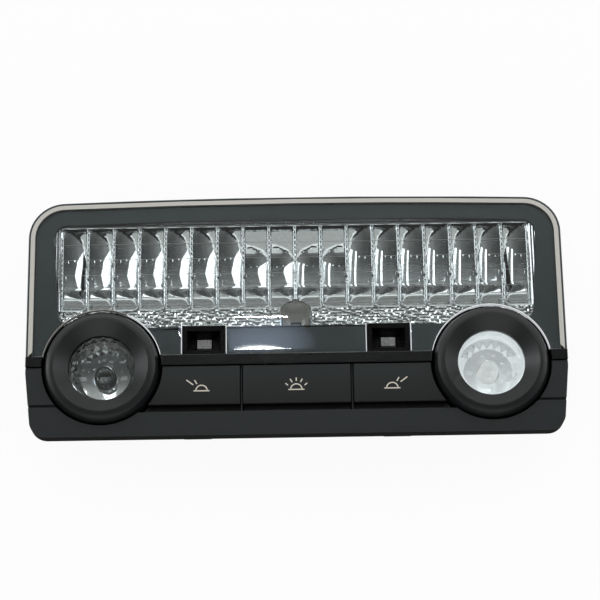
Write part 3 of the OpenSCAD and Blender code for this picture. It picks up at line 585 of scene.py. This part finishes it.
def dome(x):
    """The half round outline of a lamp in ink: an open half circle, widened inwards and thickened."""
    clear()
    bpy.ops.mesh.primitive_circle_add(vertices=DOME_CORNERS, radius=DOME_R * MM,
                                      location=place(x, SIGN_UP, BUTTON_FACE))
    obj = press_place(bpy.context.object)
    open_piece(obj)
    pick("verts", lambda at, part: at.y < LEVEL + SIGN_UP * MM - 0.01 * MM)
    bpy.ops.mesh.delete(type="VERT")
    bpy.ops.mesh.select_all(action="SELECT")
    bpy.ops.mesh.extrude_edges_move(TRANSFORM_OT_translate={"value": (0, 0, 0)})
    inner = 1 - SIGN_W / DOME_R
    bpy.ops.transform.resize(value=(inner, inner, 1), center_override=place(x, SIGN_UP, BUTTON_FACE))
    clear()
    return modifier(obj, "SOLIDIFY", thickness=INK * MM, offset=0)


def sign(side, x, rays):
    base = stroke(x, (-BASE_HALF, 0), (BASE_HALF, 0))
    obj = joined([dome(x), base] + [stroke(x, *ray) for ray in rays])
    outward(obj)
    return finish_piece(obj, side + "_sign", side + "_button", sign_print)


sign("left", -SIGN_X, [LONG_RAY, SHORT_RAY])
sign("centre", CENTRE_SIGN_X, FAN)
sign("right", SIGN_X, [[(-x, up) for x, up in ray] for ray in (LONG_RAY, SHORT_RAY)])
print("signs printed")

# %% [markdown]
# The frame is one moulding with four finishes, given by place. The rail is polished, the strip below
# it is satin, the deck under the cover is black with a painted grey sheen, and the walls below the rail
# are dull.

# %% Finishes of the frame
RAIL_LOW, RAIL_TOP = 0.2, 4.0
RAIL_ROUND, RAIL_ROUND_D = 0.25, 0.3
COVER_T, DECK_ROOM = 2.0, 0.4
LOOKS_UP = 0.2
STRIP, DECK, SIDES = 1, 2, 3
face.data.materials.append(strip_black)
face.data.materials.append(deck_painted_sheen)
face.data.materials.append(side_black)
counts = [0] * 4
for polygon in face.data.polygons:
    up = (polygon.center.y - LEVEL) / MM
    depth = (FACE - polygon.center.z) / MM
    if up < RAIL_LOW:
        polygon.material_index = STRIP if polygon.normal.z > LOOKS_UP else SIDES
    elif up > RAIL_TOP - RAIL_ROUND and depth < RAIL_ROUND_D:
        # A painted highlight: the rounded upper edge of the rail gets the deck's painted grey, as a thin
        # line
        polygon.material_index = DECK
    # The black deck under the cover gets the painted grey sheen
    elif up > RAIL_TOP and COVER_T - DECK_ROOM < depth < COVER_T + DECK_ROOM:
        polygon.material_index = DECK
    counts[polygon.material_index] += 1
print("polished, satin, deck and side faces on the frame:", counts)

# %% [markdown]
# ## Cover
# The cover is one clear plate whose edge turns down round the face.

# %% Cover
cover = softened("lens_panel", 0.22)
finish_piece(cover, "cover_moulded", "root", clear_acrylic, ["lens_panel"])
cover.data.materials.append(frosted_edge)
cover.data.materials.append(edge_painted_shine)
FACE_HALF, FACE_TOP, BOW = 95.0, 62.6, 1.2
CORNER_X, CORNER_UP, CORNER_R = 82.0, 48.4, 13.0
FROST_END, FLAT_START = 2.3, 0.87
FRONT_AREA = 0.001
FROSTED, PAINTED_SHINE = 1, 2


def from_outline(point):
    """Distance in millimetres from a point of the cover to the outline of the face."""
    across, up = abs(point.x) / MM, (point.y - LEVEL) / MM
    if up > CORNER_UP and across > CORNER_X:
        return CORNER_R - math.hypot(across - CORNER_X, up - CORNER_UP)
    if up > CORNER_UP:
        return min(FACE_TOP - BOW * (across / CORNER_X) ** 2 - up, FACE_HALF - across)
    return FACE_HALF - across


open_piece(cover)
pick("faces", lambda at, part: part.normal.z > 0.99 and part.calc_area() > FRONT_AREA)
bpy.ops.mesh.inset(thickness=(FROST_END - FLAT_START) * MM, use_even_offset=True)
clear()
for polygon in cover.data.polygons:
    if from_outline(polygon.center) < FROST_END:
        polygon.material_index = FROSTED
# The walls of the cut-outs are frosted like the edge, and the upper ones that face the light get a painted
# glow
CUT_R, CUT_ROOM = 20.6, 0.9
POCKET_SIDES, POCKET_TOP, POCKET_ROOM = (24.9, 40.4), 14.6, 0.5
SHINE_X, SHINE_UP = -60, 4.4
WALL_LEAN = 0.97
cut_walls = 0
for polygon in cover.data.polygons:
    across, up = abs(polygon.center.x) / MM, (polygon.center.y - LEVEL) / MM
    round_lamp = abs(math.hypot(across - SPOT_X / MM, up) - CUT_R) < CUT_ROOM
    beside_pocket = up < POCKET_TOP and min(abs(across - x) for x in POCKET_SIDES) < POCKET_ROOM
    facing_light = polygon.center.x > SHINE_X * MM
    if abs(polygon.normal.z) < WALL_LEAN and (round_lamp or beside_pocket):
        polygon.material_index = PAINTED_SHINE if facing_light and up > SHINE_UP else FROSTED
        cut_walls += 1
# A hair of air is left under the cover, so that the deck shows through it
AIR, BACK_ROOM = 0.12, 0.03
open_piece(cover)
pick("verts", lambda at, part: abs(FACE - at.z - COVER_T * MM) < BACK_ROOM * MM)
bpy.ops.transform.translate(value=(0, 0, AIR * MM))
clear()
smooth(cover)
even_flats(cover)
print("walls of the cut-outs:", cut_walls)

# %% Fine lines across the back of the cover
LINES_UP = (46.0, 40.3, 34.5, 28.7, 22.9)
LINE_R, LINE_L, LINE_DEPTH = 0.07, 172, COVER_T + 0.09
lines = []
for up in LINES_UP:
    clear()
    bpy.ops.mesh.primitive_cylinder_add(vertices=8, radius=LINE_R * MM, depth=LINE_L * MM,
                                        rotation=(0, math.pi / 2, 0), location=place(0, up, LINE_DEPTH))
    lines.append(press_place(bpy.context.object))
finish_piece(smooth(joined(lines), 60), "cover_lines", "root", frosted_edge)
print("cover faces:", len(cover.data.polygons))

# %% [markdown]
# ## Main reflector
# Each scoop is a bowl-shaped mirror. Its deepest line runs along its outer side, where it steps
# straight up to the next one. One scoop is made from a fine grid whose corners are let down.

# %% One scoop
PITCH = 9.27
PER_SIDE = 9
SHORT = 2
PLATE = 4.0
SCOOP_LOW = 22.0
SCOOP_TOP = 52.4
SCOOP_FOOT, SCOOP_HEAD = SCOOP_LOW - 0.4, SCOOP_TOP + 0.4
SHORT_TOP = 45.2
BALL = 13.6
MIDDLE = 33.5
LONG_BEND = 25.0
ARCH = 11.0
SHORT_ARCH = 7.0
RAMP_FOOT, RAMP_DEPTH, RAMP_SLOPE = 22.5, 0.7, 0.58
WIDEN_UP, WIDEN_RUN, WIDEN_POWER = 30.5, 3, 6
FOOT_R, FOOT_SLOPE = 3.2, 4
RIB_R, RIB_BEADS = 0.75, 0.06
BROW_SLOPE, BROW_DEPTH = 0.12, 0.3
SHORT_WAVES, LONG_WAVES = 0.05, 0.06
COLUMNS, ROWS = 34, 60
ROWS_GATHER = 1.25


def ripple(a, b):
    """A smooth wandering value from -1 to 1, for hand-worked looking surfaces."""
    waves = math.sin(3.1 * a + 1.7 * b) + math.sin(5.3 * a - 2.9 * b + 1.3)
    return (waves + math.sin(1.3 * a + 6.1 * b)) / 3


def scoop_depth(share, x, up, short):
    """Depth of a scoop below the plate. Share is 0 at its inner side and 1 at its deep outer side."""
    top, arch = (SHORT_TOP, SHORT_ARCH) if short else (SCOOP_TOP, ARCH)
    bend = ((up - MIDDLE) / LONG_BEND) ** 2
    if up > top - arch:
        end = ((top - MIDDLE) / LONG_BEND) ** 2
        bend += (1 - end) * ((up - top + arch) / arch) ** 2
    # Towards its foot the hollow widens into a flat plate with a tight corner at its inner side
    widen = min(max((WIDEN_UP - up) / WIDEN_RUN, 0), 1)
    reach = (1 - share) ** (2 + WIDEN_POWER * widen ** 2) + bend
    if reach < 1:
        depth = math.sqrt(BALL ** 2 - PITCH ** 2 * reach) - math.sqrt(BALL ** 2 - PITCH ** 2)
    elif up > MIDDLE:
        waves = LONG_WAVES * ripple(2.4 * x, 1.9 * up)
        if short:
            waves = SHORT_WAVES * math.sin(4.2 * x + 2 * ripple(x, up / 3))
        depth = min(reach - 1, BROW_DEPTH) + BROW_SLOPE * (up - top + arch) + waves
    else:
        depth = 0
    ramp = RAMP_DEPTH + RAMP_SLOPE * (up - RAMP_FOOT)
    if up < RAMP_FOOT:
        ramp = max(0.0, RAMP_DEPTH * (up - SCOOP_LOW) / (RAMP_FOOT - SCOOP_LOW))
    depth = min(depth, max(ramp, 0.0))
    # Its inner corner is rounded off at the foot
    from_side, from_foot = FOOT_R - share * PITCH, SCOOP_LOW + FOOT_R - up
    if from_side > 0 and from_foot > 0:
        depth = min(depth, max(0.0, FOOT_SLOPE * (FOOT_R - math.hypot(from_side, from_foot))))
    # A small round rib stands between two scoops
    from_rib = min(share, 1 - share) * PITCH
    if from_rib < RIB_R:
        beads = RIB_BEADS * (1 + math.sin(3.3 * up + ripple(x, up)))
        depth = min(depth, RIB_R - math.sqrt(RIB_R ** 2 - from_rib ** 2) + beads)
    return depth


def scoop(index, side):
    x_in = index * PITCH
    clear()
    bpy.ops.mesh.primitive_grid_add(x_subdivisions=COLUMNS, y_subdivisions=ROWS, size=1,
                                    location=(0, 0, 0))
    obj = bpy.context.object
    # Columns close up towards both sides, where the ribs are, and rows towards the foot
    for vert in obj.data.vertices:
        share = (1 - math.cos(math.pi * (vert.co.x + 0.5))) / 2
        up = SCOOP_FOOT + (SCOOP_HEAD - SCOOP_FOOT) * (vert.co.y + 0.5) ** ROWS_GATHER
        x = x_in + share * PITCH
        vert.co = place(side * x, up, PLATE + scoop_depth(share, x, up, index < SHORT))
    return obj


scoops = []
for side in (-1, 1):
    for index in range(PER_SIDE):
        scoops.append(scoop(index, side))
print("scoops:", len(scoops))

# %% [markdown]
# Round the scoops lies a flat, hammered rim, with upright flutes at both ends and a gap for the bulb.
# Each strip of it is a grid, and the strips end under the frame, where nobody sees their edges.

# %% Rim of the reflector
REFLECTOR_END = 87.4
REFLECTOR_LOW = 13.5
REFLECTOR_HIGH = 55.9
SCOOPS_END = PITCH * PER_SIDE
SLOT_R, SLOT_UP = 5.8, 19.5
TOP_GRID, LOW_GRID = (260, 14), (150, 15)
BEAD_H, BEAD_STEP, BEAD_WAVES = 0.32, 1.2, 0.08
HAMMER_H = 0.19
FLUTES, FLUTE_D = 4, 0.45
EDGE_ROOM = 0.1


def strip(x0, x1, low, high, columns, rows):
    """A flat grid of the rim between two places across and two heights, in millimetres."""
    clear()
    bpy.ops.mesh.primitive_grid_add(x_subdivisions=columns, y_subdivisions=rows, size=1,
                                    location=place((x0 + x1) / 2, (low + high) / 2, PLATE))
    obj = bpy.context.object
    obj.scale = ((x1 - x0) * MM, (high - low) * MM, 1)
    return press_place(obj)


def scatter(number):
    """A value from -1 to 1 that jumps about from one corner of a grid to the next."""
    return math.sin(number * 12.9898 + math.sin(number * 78.233) * 43.7)


rim_strips = [
    strip(-REFLECTOR_END, REFLECTOR_END, SCOOP_HEAD, REFLECTOR_HIGH, *TOP_GRID),
    strip(-REFLECTOR_END, 0, REFLECTOR_LOW, SCOOP_FOOT, *LOW_GRID),
    strip(0, REFLECTOR_END, REFLECTOR_LOW, SCOOP_FOOT, *LOW_GRID),
]
# The upper strip has two low rolls along it, and the lower ones are hammered into small facets
for vert in rim_strips[0].data.vertices:
    x, up = vert.co.x / MM, (vert.co.y - LEVEL) / MM
    if SCOOP_HEAD + EDGE_ROOM < up < REFLECTOR_HIGH - EDGE_ROOM:
        bead = BEAD_H * abs(math.sin(math.pi * (up - SCOOP_HEAD) / BEAD_STEP))
        vert.co.z += MM * (bead + BEAD_WAVES * ripple(1.6 * x, 2 * up))
for obj in rim_strips[1:3]:
    for number, vert in enumerate(obj.data.vertices):
        if vert.co.y < LEVEL + (SCOOP_FOOT - EDGE_ROOM) * MM:
            vert.co.z += MM * HAMMER_H * scatter(number)
FLUTE_STEP = (REFLECTOR_END - SCOOPS_END) / FLUTES
for side in (-1, 1):
    ends = strip(*sorted((side * SCOOPS_END, side * REFLECTOR_END)), SCOOP_FOOT, SCOOP_HEAD,
                 8 * FLUTES, 3)
    for vert in ends.data.vertices:
        turn = (abs(vert.co.x) / MM - SCOOPS_END) / FLUTE_STEP
        vert.co.z -= FLUTE_D * MM * abs(math.sin(math.pi * turn))
    rim_strips.append(ends)
print("strips of the rim:", len(rim_strips))

# %% Cut the rim clear of the reading lamps and the bulb
LAMP_CUT_R = 21.5
CUTTER_L, SLOT_CUT_DEPTH = 8, PLATE + 2
HAIR = 0.002


def cut(obj, cutter, inside):
    """Cuts an open sheet and deletes what the cutter leaves within its own outline."""
    modifier(obj, "BOOLEAN", operation="DIFFERENCE", object=cutter, solver="EXACT")
    open_piece(obj)
    left = pick("faces", lambda at, part: inside(at.x / MM, (at.y - LEVEL) / MM))
    bpy.ops.mesh.delete(type="FACE")
    clear()
    return left


for obj in rim_strips[1:3]:
    for side in (-1, 1):
        clear()
        bpy.ops.mesh.primitive_cylinder_add(vertices=128, radius=LAMP_CUT_R * MM, depth=CUTTER_L * MM,
                                            location=place(side * SPOT_X / MM, 0, PLATE))
        lamp_cutter = bpy.context.object
        print("lamp cut, leftovers:", cut(obj, lamp_cutter, lambda x, up: math.hypot(
            x - side * SPOT_X / MM, up) < LAMP_CUT_R + HAIR))
        bpy.data.objects.remove(lamp_cutter)
# The bulb looks through a slot with a round top: a cylinder whose lower half is drawn down
clear()
bpy.ops.mesh.primitive_cylinder_add(vertices=64, radius=SLOT_R * MM, depth=CUTTER_L * MM,
                                    location=place(0, SLOT_UP, SLOT_CUT_DEPTH))
slot_cutter = press_place(bpy.context.object)
open_piece(slot_cutter)
pick("verts", lambda at, part: at.y < LEVEL + (SLOT_UP - 0.01) * MM)
bpy.ops.transform.translate(value=(0, -CUTTER_L * MM, 0))
clear()
for obj in (scoops[0], scoops[PER_SIDE], rim_strips[1], rim_strips[2]):
    was = len(obj.data.polygons)
    left = cut(obj, slot_cutter, lambda x, up: math.hypot(x, max(up - SLOT_UP, 0)) < SLOT_R + HAIR)
    print("slot cut:", was, "to", len(obj.data.polygons), "faces, leftovers:", left)
bpy.data.objects.remove(slot_cutter)

# %% Trough behind the bulb
BULB_DEPTH, TROUGH_R, TROUGH_TOP = 11.7, 5.78, 29.0
SCOOP_BACK = 8.4


def trough(low, high, brim):
    """A silvered gutter behind the bulb, whose straight sides come up to the brim's depth."""
    clear()
    bpy.ops.mesh.primitive_cylinder_add(vertices=96, radius=TROUGH_R * MM, depth=(high - low) * MM,
                                        end_fill_type="NOTHING", rotation=(math.pi / 2, 0, 0),
                                        location=place(0, (high + low) / 2, BULB_DEPTH))
    obj = press_place(bpy.context.object)
    open_piece(obj)
    pick("faces", lambda at, part: FACE - at.z < BULB_DEPTH * MM)
    bpy.ops.mesh.delete(type="FACE")
    pick("edges", lambda at, part: part.is_boundary and abs(abs(at.x) - TROUGH_R * MM) < 0.01 * MM
         and abs(part.verts[0].co.x - part.verts[1].co.x) < 0.01 * MM)
    bpy.ops.mesh.extrude_edges_move(TRANSFORM_OT_translate={"value": (0, 0, (BULB_DEPTH - brim) * MM)})
    clear()
    return obj


upper_trough = trough(SLOT_UP, TROUGH_TOP, SCOOP_BACK)
open_piece(upper_trough)
pick("verts", lambda at, part: at.y > LEVEL + (TROUGH_TOP - 0.01) * MM)
bpy.ops.mesh.edge_face_add()
clear()
rim_strips += [trough(REFLECTOR_LOW, SLOT_UP, PLATE), upper_trough]
print("pieces round the scoops:", len(rim_strips))

# %% Join the scoops and the rim and give the shell its wall
SHELL_WELD, SHELL_WALL = 0.005, 0.6
HAMMERED, GUTTER = 1, 2
mirror_shell = joined(scoops + rim_strips)
open_piece(mirror_shell)
bpy.ops.mesh.select_all(action="SELECT")
bpy.ops.mesh.remove_doubles(threshold=SHELL_WELD * MM)
bpy.ops.mesh.normals_make_consistent(inside=False)
clear()
face_up(mirror_shell)
finish_piece(mirror_shell, "reflector_scoops", "root", silvered, ["main_reflector"])
mirror_shell.data.materials.append(hammered)
mirror_shell.data.materials.append(gutter_painted_glow)
for polygon in mirror_shell.data.polygons:
    if polygon.center.y < LEVEL + SCOOP_FOOT * MM and FACE - polygon.center.z < (PLATE + 1) * MM:
        polygon.material_index = HAMMERED
    # The gutter behind the bulb takes the finish with the painted glow
    elif abs(polygon.center.x) < (TROUGH_R + 0.05) * MM and FACE - polygon.center.z > SCOOP_BACK * MM:
        polygon.material_index = GUTTER
modifier(mirror_shell, "SOLIDIFY", thickness=SHELL_WALL * MM, offset=-1)
smooth(mirror_shell, 50)
for polygon in mirror_shell.data.polygons:
    if polygon.material_index == HAMMERED:
        polygon.use_smooth = False
print("reflector faces:", len(mirror_shell.data.polygons))

# %% [markdown]
# ## Studio
# The lamp lies on a pale floor under soft light. What a mirror shows is what stands round it, so
# the room matters: bright sides, a dark patch overhead where the camera is, and a few lamps.

# %% Camera
TILT = math.radians(16.3)
ROLL = math.radians(0.88)
DISTANCE = 0.65
datum = place(0, 0, 0)
lens_angle = Vector((0, -math.sin(TILT), math.cos(TILT)))
camera = bpy.data.objects.new("camera", bpy.data.cameras.new("camera"))
bpy.context.scene.collection.objects.link(camera)
camera.matrix_world = (Matrix.Translation(datum + DISTANCE * lens_angle)
                       @ Matrix.Rotation(TILT, 4, "X") @ Matrix.Rotation(-ROLL, 4, "Z"))
camera.data.sensor_width = 36
camera.data.lens = 111.4
camera.data.shift_x = 0.0057
camera.data.shift_y = 0.107
bpy.context.scene.camera = camera
print("camera", DISTANCE, "m from the face")

# %% Floor
FLOOR_SHARE = 0.93
clear()
bpy.ops.mesh.primitive_plane_add(size=6, location=(0, 0, -0.0002))
floor = press_place(bpy.context.object)
floor.name = "floor"
floor_paper = finish("Floor_paper", Base_Color=colour("f6f6f4"), Roughness=0.9)
floor_light = add(floor_paper, "ShaderNodeLightPath")
floor_glow = add(floor_paper, "ShaderNodeEmission", Color=(1, 1, 1, 1), Strength=1.0)
floor_mix = add(floor_paper, "ShaderNodeMixShader")
floor_share = add(floor_paper, "ShaderNodeMath", [(0, floor_light, "Is Camera Ray")],
                  operation="MULTIPLY")
floor_share.inputs[1].default_value = FLOOR_SHARE
floor_tree = floor_paper.node_tree
floor_tree.links.new(floor_share.outputs[0], floor_mix.inputs[0])
floor_tree.links.new(floor_tree.nodes["Principled BSDF"].outputs[0], floor_mix.inputs[1])
floor_tree.links.new(floor_glow.outputs[0], floor_mix.inputs[2])
floor_tree.links.new(floor_mix.outputs[0], floor_tree.nodes["Material Output"].inputs["Surface"])
floor.data.materials.append(floor_paper)
print("floor laid")

# %% Room light
world = bpy.data.worlds.new("studio")
bpy.context.scene.world = world
world.use_nodes = True
tree = world.node_tree
tree.nodes.clear()


def room(kind, *inputs, **settings):
    """Adds a node of the room. Inputs are values, or sockets of other nodes, in the node's own order."""
    node = tree.nodes.new(kind)
    for key, value in settings.items():
        setattr(node, key, value)
    for number, given in enumerate(inputs):
        if isinstance(given, bpy.types.NodeSocket):
            tree.links.new(given, node.inputs[number])
        elif given is not None:
            node.inputs[number].default_value = given
    return node.outputs[0]


def maths(operation, *inputs):
    return room("ShaderNodeMath", *inputs, operation=operation)


coord = tree.nodes.new("ShaderNodeTexCoord")
split = tree.nodes.new("ShaderNodeSeparateXYZ")
tree.links.new(coord.outputs["Generated"], split.inputs[0])
east, north = split.outputs[0], split.outputs[1]
side_way = maths("ABSOLUTE", east)
# Overhead the room is dark: far to the sides, less far to the south, and least to the north
NORTH_END, SOUTH_END, SIDE_END = math.sin(math.radians(22.6)), math.sin(math.radians(55)), 0.97
to_north = maths("DIVIDE", north, NORTH_END)
to_south = maths("DIVIDE", north, -SOUTH_END)
to_side = maths("DIVIDE", side_way, SIDE_END)
way_out = maths("MAXIMUM", maths("MAXIMUM", to_north, to_south), to_side)
ramp = tree.nodes.new("ShaderNodeValToRGB")
STOPS = [(0.0, "46494a"), (0.5, "525352"), (0.8, "787877"), (1.02, "b0b1af"), (1.6, "d0d1ce")]
ramp.color_ramp.elements[0].color = colour(STOPS[0][1])
ramp.color_ramp.elements[1].color = colour(STOPS[-1][1])
for position, value in STOPS[1:-1]:
    ramp.color_ramp.elements.new(position / STOPS[-1][0]).color = colour(value)
tree.links.new(maths("DIVIDE", way_out, STOPS[-1][0]), ramp.inputs[0])


def patch(middle_east, middle_north, half_east, half_north):
    """1 inside a box of directions and 0 outside it."""
    inside_east = maths("LESS_THAN", maths("ABSOLUTE", maths("SUBTRACT", east, middle_east)), half_east)
    inside_north = maths("LESS_THAN", maths("ABSOLUTE", maths("SUBTRACT", north, middle_north)),
                         half_north)
    return maths("MULTIPLY", inside_east, inside_north)


def way_out_of(middle_east, middle_north, half_east, half_north):
    """How far a direction lies from the middle of an oval, squared: 1 on its outline."""
    from_east = maths("DIVIDE", maths("SUBTRACT", east, middle_east), half_east)
    from_north = maths("DIVIDE", maths("SUBTRACT", north, middle_north), half_north)
    return maths("ADD", maths("MULTIPLY", from_east, from_east), maths("MULTIPLY", from_north, from_north))


# A pointed white screen stands to the left, and two upright tube lamps to the right
KITE_TIP, KITE_UP, KITE_FLARE = 0.68, 0.28, 0.75
flare = maths("MULTIPLY", maths("SUBTRACT", maths("MULTIPLY", east, -1), KITE_TIP), KITE_FLARE)
kite = maths("GREATER_THAN", flare, maths("ABSOLUTE", maths("SUBTRACT", north, KITE_UP)))
glare = kite
for tube in (patch(0.80, 0.28, 0.03, 0.2), patch(0.93, 0.28, 0.025, 0.2)):
    glare = maths("MAXIMUM", glare, tube)
# A row of small lamps hangs to the north, as in a workshop ceiling, and a smaller one nearer overhead
ROW_STEP, ROW_HALF = 0.27, 0.8
for row_north, half_east, half_north in ((0.405, 0.05, 0.028), (0.17, 0.016, 0.014)):
    beat = maths("ABSOLUTE", maths("SUBTRACT", maths("FRACT", maths("DIVIDE", east, ROW_STEP)), 0.5))
    lit = maths("LESS_THAN", beat, half_east / ROW_STEP)
    in_row = patch(0, row_north, ROW_HALF, half_north)
    glare = maths("MAXIMUM", glare, maths("MULTIPLY", lit, in_row))
seen = room("ShaderNodeBackground", ramp.outputs["Color"], 1.0)
bright = room("ShaderNodeBackground", colour("fbfdff"), 3.0)
seen = room("ShaderNodeMixShader", glare, seen, bright)

# The cover mirrors a small lamp above the rail, half an oval on top of a box, in a soft bluish haze
HAZE_EAST, HAZE_NORTH, LAMP_HALF = -0.0188, 0.2868, 0.0155
oval = maths("LESS_THAN", way_out_of(HAZE_EAST, HAZE_NORTH, LAMP_HALF, 0.0034), 1.0)
oval = maths("MAXIMUM", oval, patch(HAZE_EAST, HAZE_NORTH - 0.003, LAMP_HALF, 0.003))
# and a thin bright line above it
oval = maths("MAXIMUM", oval, patch(HAZE_EAST, 0.3052, 0.0145, 0.0003))
haze_way = way_out_of(HAZE_EAST, HAZE_NORTH + 0.005, 0.03, 0.014)
haze = maths("MAXIMUM", maths("SUBTRACT", 1.0, haze_way), 0.0)
seen = room("ShaderNodeMixShader", haze, seen, room("ShaderNodeBackground", colour("c4d4ee"), 3.0))
seen = room("ShaderNodeMixShader", oval, seen, room("ShaderNodeBackground", colour("ffffff"), 60.0))

# Light that has already met a dull surface comes evenly from all round, and the camera sees white
paths = tree.nodes.new("ShaderNodeLightPath")
plain = room("ShaderNodeBackground", colour("ffffff"), 0.7)
white = room("ShaderNodeBackground", colour("ffffff"), 1.0)
dulled = maths("MINIMUM", paths.outputs["Diffuse Depth"], 1.0)
lit_room = room("ShaderNodeMixShader", dulled, seen, plain)
lit_room = room("ShaderNodeMixShader", paths.outputs["Is Camera Ray"], lit_room, white)
out = tree.nodes.new("ShaderNodeOutputWorld")
tree.links.new(lit_room, out.inputs["Surface"])
print("nodes in the room:", len(tree.nodes))


# %% Lamps
def soft_lamp(name, direction_deg, distance, size, radiance):
    """An area lamp aimed at the face. Direction: degrees from upright towards +X and towards +Y."""
    way = Vector([math.tan(math.radians(d)) for d in direction_deg] + [1]).normalized()
    lamp = bpy.data.lights.new(name, "AREA")
    lamp.shape = "RECTANGLE"
    lamp.size, lamp.size_y = size
    lamp.energy = radiance * math.pi * size[0] * size[1]
    obj = bpy.data.objects.new(name, lamp)
    bpy.context.scene.collection.objects.link(obj)
    obj.location = datum + distance * way
    obj.rotation_euler = way.to_track_quat("Z", "Y").to_euler()


soft_lamp("top_softbox", (0, 62), 1.0, (1.6, 0.5), 0.75)
soft_lamp("front_softbox", (0, -62), 1.1, (1.6, 0.5), 0.6)
bpy.context.scene.view_settings.view_transform = "Standard"
print("lamps:", len(bpy.data.lights))

# %% End of the scene
print("scene ready")
